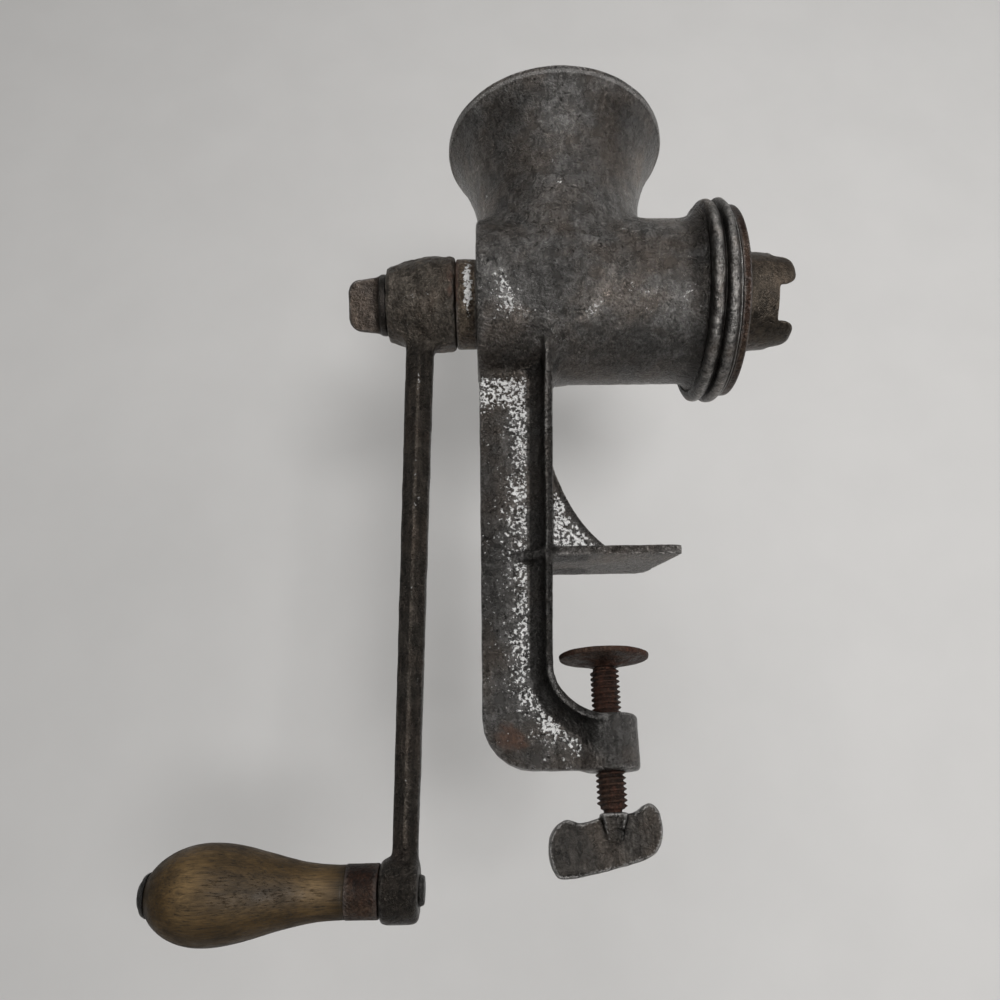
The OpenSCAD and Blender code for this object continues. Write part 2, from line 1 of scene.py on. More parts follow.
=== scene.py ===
# %% [markdown]
# # A hand-cranked meat grinder
# This lesson dresses a kitchen grinder of old tinned cast iron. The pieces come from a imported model
# that already has the right sizes, places and joints, so nothing here is moved or resized. What is
# added is what an eye looks for: the soft edges of a sand casting, real threads, wood, rust and wear.

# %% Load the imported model
import math

import bmesh
import bpy
import numpy as np
from mathutils import Matrix, Vector


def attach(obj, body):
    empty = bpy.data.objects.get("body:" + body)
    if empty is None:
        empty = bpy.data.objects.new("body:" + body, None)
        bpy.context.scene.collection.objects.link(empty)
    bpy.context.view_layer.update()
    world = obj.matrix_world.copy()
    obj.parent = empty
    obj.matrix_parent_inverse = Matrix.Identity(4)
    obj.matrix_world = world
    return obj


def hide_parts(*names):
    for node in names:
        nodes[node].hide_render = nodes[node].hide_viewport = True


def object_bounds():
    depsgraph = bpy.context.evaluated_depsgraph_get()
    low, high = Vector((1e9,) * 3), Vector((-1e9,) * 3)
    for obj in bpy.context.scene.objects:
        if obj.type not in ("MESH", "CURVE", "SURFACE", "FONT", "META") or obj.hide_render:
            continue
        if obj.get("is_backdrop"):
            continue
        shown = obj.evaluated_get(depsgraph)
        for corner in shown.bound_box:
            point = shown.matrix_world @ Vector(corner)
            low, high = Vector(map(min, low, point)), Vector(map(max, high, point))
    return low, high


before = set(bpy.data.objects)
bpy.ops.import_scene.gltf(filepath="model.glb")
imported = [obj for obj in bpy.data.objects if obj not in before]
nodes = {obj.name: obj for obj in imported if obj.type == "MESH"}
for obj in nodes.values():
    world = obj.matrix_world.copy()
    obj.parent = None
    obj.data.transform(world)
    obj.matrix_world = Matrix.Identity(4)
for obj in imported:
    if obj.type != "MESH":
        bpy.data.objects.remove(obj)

MM = 0.001
scene = bpy.context.scene
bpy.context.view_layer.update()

# %% [markdown]
# ## Camera
# The photograph looks up at the grinder from below its barrel, and quite close, so the perspective
# is strong. A camera can be turned by eye until the picture agrees, but a camera that is solved
# from a few round things (the hopper's rim, the cutter disc, the clamp pad) is exact. Its place and
# its three angles are written here, and its axes are put together from them.

# %% Camera
IMAGE_PX = 1000
FOCAL_PX = 870
SENSOR_MM = 36
EYE_MM = Vector((-38.7, -300, -95.53))
PITCH = math.radians(22.013)
YAW = math.radians(0.728)
ROLL = math.radians(-1.033)

ahead = Vector((math.sin(YAW) * math.cos(PITCH), math.cos(YAW) * math.cos(PITCH), math.sin(PITCH)))
level = Vector((math.cos(YAW), -math.sin(YAW), 0))
upward = level.cross(ahead)
right = math.cos(ROLL) * level + math.sin(ROLL) * upward
above = math.cos(ROLL) * upward - math.sin(ROLL) * level

camera = bpy.data.objects.new("camera", bpy.data.cameras.new("camera"))
scene.collection.objects.link(camera)
camera.data.sensor_width = SENSOR_MM
camera.data.lens = SENSOR_MM * FOCAL_PX / IMAGE_PX
camera.data.clip_start = 0.01
turn = Matrix((right, above, -ahead)).transposed().to_4x4()
camera.matrix_world = Matrix.Translation(EYE_MM * MM) @ turn
scene.camera = camera
scene.view_settings.view_transform = "Standard"
print("lens in mm:", round(camera.data.lens, 2))

# %% [markdown]
# ## Small tools for node trees
# Materials and Geometry Nodes are both node trees, so one function can add a node to either: it
# sets the node's options, and each input is either a plain value or the output of another node.
# Written this way, a tree reads from top to bottom like a recipe.

# %% Node tools
def fill(tree, socket, value):
    """Link an output to a socket, or set the socket to a plain value."""
    if isinstance(value, bpy.types.NodeSocket):
        tree.links.new(value, socket)
    else:
        socket.default_value = value


def add(tree, kind, inputs=None, **options):
    """A new node with its options and inputs."""
    node = tree.nodes.new(kind)
    for option, value in options.items():
        setattr(node, option, value)
    for key, value in (inputs or {}).items():
        fill(tree, node.inputs[key], value)
    return node


def maths(tree, operation, first, second=0.0):
    return add(tree, "ShaderNodeMath", {0: first, 1: second}, operation=operation).outputs[0]


def weighed(tree, value, weight, rest):
    """Value times weight, plus a rest."""
    return add(tree, "ShaderNodeMath", {0: value, 1: weight, 2: rest}, operation="MULTIPLY_ADD").outputs[0]


def scaled(tree, colour, factor):
    """A colour made darker or lighter by a factor."""
    node = add(tree, "ShaderNodeVectorMath", {"Scale": factor}, operation="SCALE")
    fill(tree, node.inputs[0], colour if isinstance(colour, bpy.types.NodeSocket) else colour[:3])
    return node.outputs[0]


def soft_step(tree, value, low, high, start=0.0, end=1.0):
    """Start below low, end above high, and a soft slope between."""
    ranges = {"Value": value, "From Min": low, "From Max": high, "To Min": start, "To Max": end}
    return add(tree, "ShaderNodeMapRange", ranges, interpolation_type="SMOOTHSTEP").outputs[0]


def mixed(tree, share, first, second):
    """A share of the second colour in the first."""
    node = add(tree, "ShaderNodeMix", data_type="RGBA")
    for index, value in ((0, share), (6, first), (7, second)):
        fill(tree, node.inputs[index], value)
    return node.outputs[2]


def cloud(tree, place, spot_mm, detail=4.0, rough=0.55, warp=0.0):
    """Noise whose spots are about spot_mm apart."""
    values = {"Vector": place, "Scale": 1 / (spot_mm * MM), "Detail": detail,
              "Roughness": rough, "Distortion": warp}
    return add(tree, "ShaderNodeTexNoise", values).outputs[0]


def stretched(tree, place, x, y, z):
    return add(tree, "ShaderNodeMapping", {"Vector": place, "Scale": (x, y, z)}).outputs[0]


def object_place(tree):
    return add(tree, "ShaderNodeTexCoord").outputs["Object"]


def painted(tree, name):
    """A value that was painted on the piece's points."""
    return add(tree, "ShaderNodeAttribute", attribute_name=name).outputs["Fac"]


def tone(value, warm=0.0):
    """A colour near grey; warm moves it towards brown."""
    return (value * (1 + warm), value, value * (1 - warm), 1)


def new_group(name, inputs, outputs):
    """An empty shader group with its sockets, its input node and its output node."""
    tree = bpy.data.node_groups.new(name, "ShaderNodeTree")
    for socket, kind in inputs.items():
        tree.interface.new_socket(socket, in_out="INPUT", socket_type=kind)
    for socket in outputs:
        tree.interface.new_socket(socket, in_out="OUTPUT", socket_type="NodeSocketFloat")
    return tree, tree.nodes.new("NodeGroupInput"), tree.nodes.new("NodeGroupOutput")


def effect(tree, group, inputs):
    """Place a shader group in a material and give it its own values."""
    node = add(tree, "ShaderNodeGroup", node_tree=group)
    for key, value in inputs.items():
        fill(tree, node.inputs[key], value)
    return node.outputs


def new_material(name):
    """A material with an empty Principled shader, and the shader's inputs."""
    material = bpy.data.materials.new(name)
    material.use_nodes = True
    return material, material.node_tree, material.node_tree.nodes["Principled BSDF"].inputs


# %% [markdown]
# ## The skin of a sand casting
# Iron that was poured into sand keeps a fine grain, a slow mottle of lighter and darker patches,
# scattered pits, and streaks where it was wiped and filed. Every iron piece here shows these in its
# own measure, so they are made once as a group and each material takes what it needs. All sizes are
# real ones, in millimetres.

# %% Group: cast skin
PLACE = {"Place": "NodeSocketVector"}
SKIN_MARKS = ["Grain", "Mottle", "Patch", "Pits", "Streaks"]

cast_skin, given, result = new_group("cast_skin", PLACE, SKIN_MARKS)
place = given.outputs["Place"]
grain = cloud(cast_skin, place, 0.9, detail=3, rough=0.65)
mottle = cloud(cast_skin, place, 4.5, detail=6, rough=0.68, warp=0.6)
patch = cloud(cast_skin, place, 22, detail=4, rough=0.55, warp=0.3)
wiped = cloud(cast_skin, stretched(cast_skin, place, 1, 1, 0.16), 1.6, detail=3, rough=0.6)
pit_cells = add(cast_skin, "ShaderNodeTexVoronoi", {"Vector": place, "Scale": 1 / (4 * MM)})
ragged = weighed(cast_skin, grain, 0.35, pit_cells.outputs["Distance"])
steps = {"Grain": (grain, 0.32, 0.7), "Mottle": (mottle, 0.34, 0.68), "Patch": (patch, 0.4, 0.66),
         "Pits": (ragged, 0.32, 0.22), "Streaks": (wiped, 0.32, 0.68)}
for mark, (noise, low, high) in steps.items():
    fill(cast_skin, result.inputs[mark], soft_step(cast_skin, noise, low, high))
print("group:", cast_skin.name)

# %% [markdown]
# ## Specks of tin
# The casting was once dipped in tin. Where hands and dishcloths never rubbed, the tin is left as a
# crowd of white specks with dark iron between them, and elsewhere it is gone. Noise that is cut off
# at a level gives specks, and moving that level up or down gives fewer or more of them: how many
# there are is painted on the piece.

# %% Group: tin specks
DENSITY = {"Place": "NodeSocketVector", "Density": "NodeSocketFloat"}

tin_specks, given, result = new_group("tin_specks", DENSITY, ["Mask"])
place = given.outputs["Place"]
crumbs = cloud(tin_specks, place, 1.25, detail=4, rough=0.7)
drifts = cloud(tin_specks, place, 7, detail=3, rough=0.6)
level = weighed(tin_specks, drifts, 0.3, crumbs)
cut_off = weighed(tin_specks, given.outputs["Density"], -0.42, 1.0)
specks = soft_step(tin_specks, maths(tin_specks, "SUBTRACT", level, cut_off), -0.015, 0.025)
fill(tin_specks, result.inputs["Mask"], specks)
print("group:", tin_specks.name)

# %% [markdown]
# ## Rust
# Rust creeps in from damp corners in cloudy patches with a ragged edge, and its colour runs from
# nearly black to orange. One output says where it is and the other how light it is there.

# %% Group: rust
rust_bloom, given, result = new_group("rust_bloom", DENSITY, ["Mask", "Shade"])
place = given.outputs["Place"]
blooms = cloud(rust_bloom, place, 6, detail=7, rough=0.7, warp=0.5)
cut_off = soft_step(rust_bloom, given.outputs["Density"], 0, 1, 0.85, 0.2)
bloom = soft_step(rust_bloom, maths(rust_bloom, "SUBTRACT", blooms, cut_off), -0.1, 0.12)
shade = soft_step(rust_bloom, cloud(rust_bloom, place, 1.8, detail=7, rough=0.72), 0.34, 0.7)
fill(rust_bloom, result.inputs["Mask"], bloom)
fill(rust_bloom, result.inputs["Shade"], shade)
print("group:", rust_bloom.name)

# %% [markdown]
# ## Worn edges, and hollows with grease and painted shade
# Proud edges are rubbed bright, and hollows are darkened with grease and painted shade. A shader
# can't see how a surface bends in every renderer, so the bend is worked out once for each point of a
# mesh and kept with it, as an attribute that is above zero on edges and below zero in hollows. This
# group only reads it.

# %% Group: worn edge
worn_edge, given, result = new_group("worn_edge", {"Grain": "NodeSocketFloat"}, ["Bright", "Hollow"])
bend = painted(worn_edge, "edge")
rubbed = weighed(worn_edge, maths(worn_edge, "SUBTRACT", given.outputs["Grain"], 0.5), 0.3, bend)
fill(worn_edge, result.inputs["Bright"], soft_step(worn_edge, rubbed, 0.16, 0.5))
fill(worn_edge, result.inputs["Hollow"], soft_step(worn_edge, bend, -0.05, -0.35))
print("group:", worn_edge.name)


# %% [markdown]
# ## Iron
# One recipe serves every iron piece: a dark and a light tone that the mottle mixes, a brown stain,
# rust, grease and painted shade, bright edges, specks of tin that are in places painted highlights,
# and painted light and shade that lighten or darken the iron. The numbers differ from piece to
# piece, the recipe doesn't. The bump comes from the same grain and pits as the colour, so that both
# agree.

# %% Material recipe: iron
BROWN = (0.11, 0.078, 0.055, 1)
GREASE_AND_SHADE = tone(0.009, 0.12)


def iron(name, dark, light, stain=BROWN, stain_share=0.4, rust=0.0, rust_dark=(0.022, 0.010, 0.006, 1),
         rust_light=(0.085, 0.042, 0.024, 1), tin_and_highlight=0.0, tin_tone=tone(0.82, 0.015), worn=0.35,
         worn_tone=tone(0.45, 0.03), streaks=0.7, metallic=0.8, rough=0.36, bump=0.9, grainy=1.0, gloss=0.5):
    """Cast or forged iron; rust and tin are added to what is painted on the piece."""
    material, tree, skin = new_material(name)
    place = object_place(tree)
    cast = effect(tree, cast_skin, {"Place": place})
    colour = mixed(tree, cast["Mottle"], dark, light)
    colour = mixed(tree, maths(tree, "MULTIPLY", cast["Patch"], stain_share), colour, stain)
    wiped = weighed(tree, cast["Streaks"], streaks, 1 - streaks / 2)
    shade = maths(tree, "MULTIPLY", weighed(tree, cast["Grain"], grainy, 1 - grainy / 2), wiped)
    # Painted light and shade: a painted value lightens the iron, or darkens it below zero.
    shade = maths(tree, "MULTIPLY", shade, maths(tree, "ADD", painted(tree, "tone_and_painted_light"), 1.0))
    colour = scaled(tree, colour, shade)
    colour = mixed(tree, maths(tree, "MULTIPLY", cast["Pits"], 0.75), colour, GREASE_AND_SHADE)

    edge = effect(tree, worn_edge, {"Grain": cast["Grain"]})
    # Hollows and painted spots are darkened, as grease and painted shade.
    greased_and_shaded = maths(tree, "MULTIPLY", edge["Hollow"], 0.6)
    greased_and_shaded = maths(tree, "MAXIMUM", greased_and_shaded, maths(tree, "MULTIPLY", painted(tree, "grease_and_shade"), 0.9))
    colour = mixed(tree, greased_and_shaded, colour, GREASE_AND_SHADE)
    rubbed = maths(tree, "MULTIPLY", edge["Bright"], weighed(tree, painted(tree, "grease_and_shade"), -worn, worn))
    colour = mixed(tree, rubbed, colour, worn_tone)

    rust_level = maths(tree, "ADD", painted(tree, "rust"), rust)
    bloom = effect(tree, rust_bloom, {"Place": place, "Density": rust_level})
    colour = mixed(tree, bloom["Mask"], colour, mixed(tree, bloom["Shade"], rust_dark, rust_light))

    # Tin specks; in places the painted level stands for painted highlights.
    tin_and_highlight_level = maths(tree, "ADD", painted(tree, "tin_and_highlight"), tin_and_highlight)
    specks = effect(tree, tin_specks, {"Place": place, "Density": tin_and_highlight_level})["Mask"]
    flecks = scaled(tree, tin_tone, weighed(tree, cast["Mottle"], 0.3, 0.75))
    colour = mixed(tree, specks, colour, flecks)
    fill(tree, skin["Base Color"], colour)

    dull = soft_step(tree, cast["Mottle"], 0, 1, rough - 0.08, rough + 0.1)
    fill(tree, skin["Roughness"], weighed(tree, bloom["Mask"], 0.25, dull))
    covered = maths(tree, "MAXIMUM", maths(tree, "MULTIPLY", bloom["Mask"], 0.9), specks)
    fill(tree, skin["Metallic"], soft_step(tree, covered, 0, 1, metallic, 0))
    skin["Specular IOR Level"].default_value = gloss

    height = weighed(tree, cast["Mottle"], 1.4, cast["Grain"])
    height = maths(tree, "SUBTRACT", height, cast["Pits"])
    height = weighed(tree, specks, 0.5, height)
    relief = add(tree, "ShaderNodeBump", {"Height": height, "Strength": bump, "Distance": 0.3 * MM})
    fill(tree, skin["Normal"], relief.outputs[0])
    return material


casting_iron = iron("casting_iron", tone(0.068, 0.06), tone(0.145, 0.04), tin_and_highlight=0.2, grainy=0.8,
                    streaks=0.5, rough=0.31)
mouth_iron = iron("mouth_iron", tone(0.045, 0.06), tone(0.15, 0.05), tin_and_highlight=0.15, worn=0.35, streaks=1.0,
                  grainy=0.4, bump=0.5)
crank_iron = iron("crank_iron", tone(0.013, 0.2), tone(0.031, 0.17), stain=(0.045, 0.032, 0.024, 1),
                  tin_and_highlight=0.12, tin_tone=tone(0.5, 0.02), worn=0.2, worn_tone=tone(0.2, 0.08), grainy=0.6)
wing_iron = iron("wing_iron", tone(0.014, 0.14), tone(0.038, 0.11), stain_share=0.15, tin_and_highlight=0.15,
                 tin_tone=tone(0.4, 0.04), rough=0.33, bump=0.5, grainy=0.6)
spade_iron = iron("spade_iron", (0.05, 0.04, 0.033, 1), (0.09, 0.072, 0.06, 1), rust=0.15, tin_and_highlight=0.2,
                  worn=0.15, bump=0.5, grainy=0.35)
nut_iron = iron("nut_iron", (0.03, 0.024, 0.018, 1), (0.062, 0.05, 0.038, 1), rust=0.25,
                rust_dark=(0.03, 0.018, 0.012, 1), tin_and_highlight=0.1, tin_tone=(0.4, 0.33, 0.26, 1),
                worn_tone=(0.2, 0.16, 0.125, 1), bump=0.5, grainy=0.5)
disc_iron = iron("disc_iron", (0.019, 0.0105, 0.007, 1), (0.042, 0.023, 0.015, 1), rust=0.35,
                 rust_dark=(0.02, 0.012, 0.008, 1), rust_light=(0.055, 0.03, 0.02, 1), worn=0.15,
                 bump=0.6, grainy=0.5)
bush_iron = iron("bush_iron", (0.05, 0.037, 0.026, 1), (0.15, 0.12, 0.09, 1), rust=0.25, tin_and_highlight=0.15)
thread_rust = iron("thread_rust", (0.014, 0.006, 0.004, 1), (0.045, 0.02, 0.012, 1), rust=0.5,
                   rust_light=(0.07, 0.027, 0.016, 1), tin_and_highlight=0.1, tin_tone=(0.3, 0.22, 0.18, 1), worn=0.2,
                   worn_tone=(0.10, 0.06, 0.045, 1), metallic=0.3, rough=0.5, gloss=0.25)
ferrule_rust = iron("ferrule_rust", (0.007, 0.003, 0.002, 1), (0.02, 0.0085, 0.0045, 1), rust=0.45,
                    rust_light=(0.03, 0.012, 0.006, 1), worn=0.05, metallic=0.3, rough=0.5, bump=0.5,
                    gloss=0.2)
dark_steel = iron("dark_steel", tone(0.006, 0.1), tone(0.02, 0.1), rust=0.1, worn=0.05, gloss=0.3)
worm_iron = iron("worm_iron", tone(0.09, 0.03), tone(0.3, 0.02), stain_share=0.3, tin_and_highlight=0.3)
print("iron materials:", len(bpy.data.materials))

# %% [markdown]
# ## Worn wood
# The grip is a turned hardwood whose varnish has gone with use: golden where the palm polished it,
# with painted highlights on the front of the crown and on the top, olive-brown where dirt soaked in,
# with dark pores and scratches drawn out along the grain. The grain runs along the grip, so every
# pattern is squeezed across and drawn out along X.

# %% Material: grip wood
WOOD_DARK, WOOD_LIGHT = (0.022, 0.013, 0.0048, 1), (0.064, 0.0385, 0.0145, 1)
WOOD_GOLD, WOOD_DIRT = (0.18, 0.115, 0.05, 1), (0.012, 0.0085, 0.0045, 1)


def worn_wood(name):
    material, tree, skin = new_material(name)
    place = object_place(tree)
    bands = cloud(tree, stretched(tree, place, 0.12, 1, 1), 2.6, detail=5, rough=0.62, warp=0.4)
    fibres = cloud(tree, stretched(tree, place, 0.07, 1, 1), 0.45, detail=4, rough=0.7)
    dirt = cloud(tree, stretched(tree, place, 0.7, 1, 1), 6, detail=6, rough=0.7)
    colour = mixed(tree, soft_step(tree, bands, 0.25, 0.75), WOOD_DARK, WOOD_LIGHT)
    colour = mixed(tree, maths(tree, "MULTIPLY", painted(tree, "polish_and_highlight"), 0.65), colour, WOOD_GOLD)
    colour = mixed(tree, maths(tree, "MULTIPLY", soft_step(tree, dirt, 0.46, 0.72), 0.6), colour, WOOD_DIRT)
    colour = mixed(tree, maths(tree, "MULTIPLY", painted(tree, "grime"), 0.9), colour, WOOD_DIRT)
    pores = soft_step(tree, fibres, 0.44, 0.3)
    colour = mixed(tree, maths(tree, "MULTIPLY", pores, 0.6), colour, WOOD_DIRT)
    colour = scaled(tree, colour, soft_step(tree, fibres, 0.3, 0.75, 0.7, 1.5))
    fill(tree, skin["Base Color"], colour)
    fill(tree, skin["Roughness"], soft_step(tree, dirt, 0.3, 0.7, 0.42, 0.68))
    skin["Specular IOR Level"].default_value = 0.25
    height = maths(tree, "SUBTRACT", maths(tree, "MULTIPLY", fibres, 0.8), pores)
    relief = add(tree, "ShaderNodeBump", {"Height": height, "Strength": 0.5, "Distance": 0.2 * MM})
    fill(tree, skin["Normal"], relief.outputs[0])
    return material


grip_wood = worn_wood("grip_wood")
print("wood:", grip_wood.name)

# %% [markdown]
# ## Tools for shapes
# Three ways of working make all the pieces. A cast piece starts as a copy of its solid, which is
# remeshed into small even faces so that its hollows can be filled and its edges rounded, as the
# pattern maker does with wax and sandpaper. A wide fillet comes from swelling the shape and shrinking
# it again by the same amount: outer faces come back to their place, but an inner corner that the
# swelling closed stays filled. A turned piece is an outline that is spun on an axis. What repeats
# along a path is left to Geometry Nodes.

# %% Mesh tools
def new_piece(name, mesh):
    piece = bpy.data.objects.new(name, mesh)
    scene.collection.objects.link(piece)
    return piece


def apply_modifiers(piece):
    """Keep what the modifiers show as the piece's own plain mesh."""
    shown = piece.evaluated_get(bpy.context.evaluated_depsgraph_get())
    mesh = bpy.data.meshes.new_from_object(shown)
    piece.modifiers.clear()
    piece.data = mesh
    return piece


def merged(mesh):
    """Merge doubled points and turn all faces outwards."""
    shape = bmesh.new()
    shape.from_mesh(mesh)
    bmesh.ops.remove_doubles(shape, verts=shape.verts, dist=0.002 * MM)
    bmesh.ops.dissolve_degenerate(shape, edges=shape.edges, dist=0.0005 * MM)
    bmesh.ops.recalc_face_normals(shape, faces=shape.faces)
    shape.to_mesh(mesh)
    shape.free()
    return mesh


def joined(name, pieces):
    """One piece from several."""
    shape = bmesh.new()
    for piece in pieces:
        shape.from_mesh(piece.data)
        bpy.data.objects.remove(piece)
    mesh = bpy.data.meshes.new(name)
    shape.to_mesh(mesh)
    shape.free()
    return new_piece(name, mesh)


def prism(name, corners, push):
    """A flat outline pushed along a vector, both in mm."""
    shape = bmesh.new()
    outline = shape.faces.new([shape.verts.new(Vector(corner) * MM) for corner in corners])
    pushed = bmesh.ops.extrude_face_region(shape, geom=[outline])["geom"]
    far_points = [part for part in pushed if isinstance(part, bmesh.types.BMVert)]
    bmesh.ops.translate(shape, vec=Vector(push) * MM, verts=far_points)
    bmesh.ops.recalc_face_normals(shape, faces=shape.faces)
    mesh = bpy.data.meshes.new(name)
    shape.to_mesh(mesh)
    shape.free()
    return new_piece(name, mesh)


def remeshed(piece, voxel_mm):
    """Cut a piece into small even faces; what overlaps becomes one skin."""
    modifier = piece.modifiers.new("even faces", "REMESH")
    modifier.mode = "VOXEL"
    modifier.voxel_size = voxel_mm * MM
    return apply_modifiers(piece)


def solid_copy(name, node, voxel_mm):
    """A copy of a solid, cut into small even faces."""
    return remeshed(new_piece(name, merged(nodes[node].data.copy())), voxel_mm)


class Skin:
    """The points of a mesh as arrays, with the mean of each point's neighbours."""

    def __init__(self, mesh):
        self.mesh = mesh
        self.points = np.empty((len(mesh.vertices), 3), dtype=np.float32)
        mesh.vertices.foreach_get("co", self.points.ravel())
        self.edges = np.empty((len(mesh.edges), 2), dtype=np.int32)
        mesh.edges.foreach_get("vertices", self.edges.ravel())
        self.count = np.bincount(self.edges.ravel(), minlength=len(self.points))

    def normals(self):
        normals = np.empty_like(self.points)
        self.mesh.vertices.foreach_get("normal", normals.ravel())
        return normals

    def mean(self, values):
        first, second = self.edges.T
        size = len(values)
        total = np.bincount(first, values[second], size) + np.bincount(second, values[first], size)
        return total / np.maximum(self.count, 1)

    def pull(self):
        """From each point to the mean of its neighbours."""
        return np.stack([self.mean(self.points[:, axis]) for axis in range(3)], axis=1) - self.points

    def keep(self):
        self.mesh.vertices.foreach_set("co", self.points.ravel())
        self.mesh.update()


def fill_hollows(piece, steps, weight=1.0, share=0.6):
    """Move points outwards only, where their neighbours stand higher, so that hollows fill up."""
    skin = Skin(piece.data)
    for turn in range(steps):
        if turn % 5 == 0:
            skin.keep()
            normals = skin.normals()
        rise = np.maximum((skin.pull() * normals).sum(axis=1), 0) * share * weight
        skin.points += normals * rise[:, None]
    skin.keep()
    return piece


def round_off(piece, steps, weight=1.0, share=0.5):
    """Draw each point towards its neighbours, which rounds edges and corners."""
    skin = Skin(piece.data)
    for turn in range(steps):
        skin.points += skin.pull() * (np.ones(len(skin.points)) * share * weight)[:, None]
    skin.keep()
    return piece


def ramp(values, start, end):
    """0 at start, 1 at end, and straight between."""
    return np.clip((values - start) / (end - start), 0, 1)


def filleted(piece, radius_mm, voxel_mm, share=lambda places: np.ones(len(places))):
    """Swell a piece and shrink it again, to fillet its inner corners; a share says how much at a place."""
    for direction in (1, -1):
        skin = Skin(piece.data)
        step = direction * radius_mm * MM * share(skin.points / MM)
        skin.points += skin.normals() * step[:, None]
        skin.keep()
        remeshed(piece, voxel_mm)
    return piece


def uneven(piece, spot_mm, depth_mm, weight=1.0):
    """A slow unevenness, as sand and hand tools leave it; a weight for each point may hold it back."""
    before = Skin(piece.data).points
    texture = bpy.data.textures.new(piece.name + " unevenness", "CLOUDS")
    texture.noise_scale = spot_mm * MM
    modifier = piece.modifiers.new("unevenness", "DISPLACE")
    modifier.texture = texture
    modifier.strength = depth_mm * MM
    modifier.mid_level = 0.5
    skin = Skin(apply_modifiers(piece).data)
    share = (np.ones(len(before)) * weight)[:, None].astype(np.float32)
    skin.points = before + (skin.points - before) * share
    skin.keep()
    return piece


def thinned(piece, triangles):
    """Merge faces where the surface is calm, down to a number of triangles."""
    now = sum(len(face.vertices) - 2 for face in piece.data.polygons)
    if now > triangles:
        piece.modifiers.new("thin", "DECIMATE").ratio = triangles / now
        apply_modifiers(piece)
    return piece


def paint(piece, name, values):
    """Keep a value with each point of a piece, for its material to read."""
    layer = piece.data.attributes.new(name, "FLOAT", "POINT")
    layer.data.foreach_set("value", np.asarray(values, dtype=np.float32))


def spots(piece, marks):
    """Soft spots of (centre, reach, strength), in mm; a reach may differ along the three axes."""
    points = Skin(piece.data).points / MM
    values = np.zeros(len(points))
    for centre, reach, strength in marks:
        away = (points - np.array(centre)) / np.array(reach)
        values += strength * np.exp(-(away ** 2).sum(axis=1))
    return values


def paint_spots(piece, name, marks):
    paint(piece, name, spots(piece, marks))


def paint_edges(piece, spread=3):
    """How sharply the surface bends at each point: edges above zero, hollows below."""
    skin = Skin(piece.data)
    first, second = skin.edges.T
    gap = skin.points[second] - skin.points[first]
    length = np.linalg.norm(gap, axis=1) + 1e-9
    tilt = ((skin.normals()[second] - skin.normals()[first]) * gap).sum(axis=1) / length ** 2
    size = len(skin.points)
    bend = (np.bincount(first, tilt, size) + np.bincount(second, tilt, size)) / np.maximum(skin.count, 1)
    bend = np.clip(bend * MM, -1.5, 1.5)
    for turn in range(spread):
        bend = 0.5 * bend + 0.5 * skin.mean(bend)
    paint(piece, "edge", bend)


def finish(piece, material, body, slot, *replaced):
    """Shade a piece smoothly, give it its finish, and tie it to its body."""
    if "edge" not in piece.data.attributes:
        paint_edges(piece)
    for name in ("tin_and_highlight", "rust", "grease_and_shade", "tone_and_painted_light"):
        if name not in piece.data.attributes:
            paint(piece, name, np.zeros(len(piece.data.vertices)))
    piece.data.materials.clear()
    piece.data.materials.append(material)
    piece.data.shade_smooth()
    piece.data.update()
    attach(piece, body)
    if replaced:
        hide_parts(*replaced)
    triangles = sum(len(face.vertices) - 2 for face in piece.data.polygons)
    print(piece.name, "on", body, "with", triangles, "triangles")


# %% [markdown]
# ## The lathe
# Bushes, washers, pads and the wooden grip are all turned. An outline is a short list of places
# along the axis with a radius, and a third number rounds that corner. Spinning it is a matter of
# rings of points; a hollow piece has an outline that closes on itself.

# %% Lathe
AXIS_Z = 112
GRIP_Z = -106.4
CORNER_STEPS = 5


def rounded(outline, closed):
    """An outline with its marked corners rounded."""
    smooth = []
    for index, (along, radius, *corner) in enumerate(outline):
        here = Vector((along, radius))
        inner = closed or 0 < index < len(outline) - 1
        if not corner or not inner:
            smooth.append(here)
            continue
        before = Vector(outline[index - 1][:2]) - here
        after = Vector(outline[(index + 1) % len(outline)][:2]) - here
        reach = corner[0] / math.tan(before.angle(after) / 2)
        reach = min(reach, 0.48 * before.length, 0.48 * after.length)
        start = here + before.normalized() * reach
        end = here + after.normalized() * reach
        for k in range(CORNER_STEPS + 1):
            t = k / CORNER_STEPS
            smooth.append(start * (1 - t) ** 2 + here * 2 * t * (1 - t) + end * t ** 2)
    return smooth


def spaced(outline, closed, gap_mm):
    """Add points along an outline so that none lie further apart than a gap."""
    points = []
    pairs = list(zip(outline, outline[1:] + outline[:1]))
    for start, end in pairs if closed else pairs[:-1]:
        parts = max(1, math.ceil((end - start).length / gap_mm))
        points += [start.lerp(end, k / parts) for k in range(parts)]
    return points if closed else points + [outline[-1]]


def turned(name, outline, height=None, closed=False, sides=112, gap_mm=1.2):
    """Spin an outline about the X axis at a height, or about the Z axis; four sides make a square bar."""
    points = spaced(rounded(outline, closed), closed, gap_mm)
    verts = []
    for along, radius in points:
        for side in range(sides):
            angle = 2 * math.pi * (side + 0.5) / sides
            across, up = radius * math.cos(angle), radius * math.sin(angle)
            place = (across, up, along) if height is None else (along, across, height + up)
            verts.append(Vector(place) * MM)
    faces = []
    for ring in range(len(points) if closed else len(points) - 1):
        near, far = ring * sides, (ring + 1) % len(points) * sides
        for side in range(sides):
            after = (side + 1) % sides
            faces.append((near + side, near + after, far + after, far + side))
    mesh = bpy.data.meshes.new(name)
    mesh.from_pydata(verts, [], faces)
    return new_piece(name, merged(mesh))


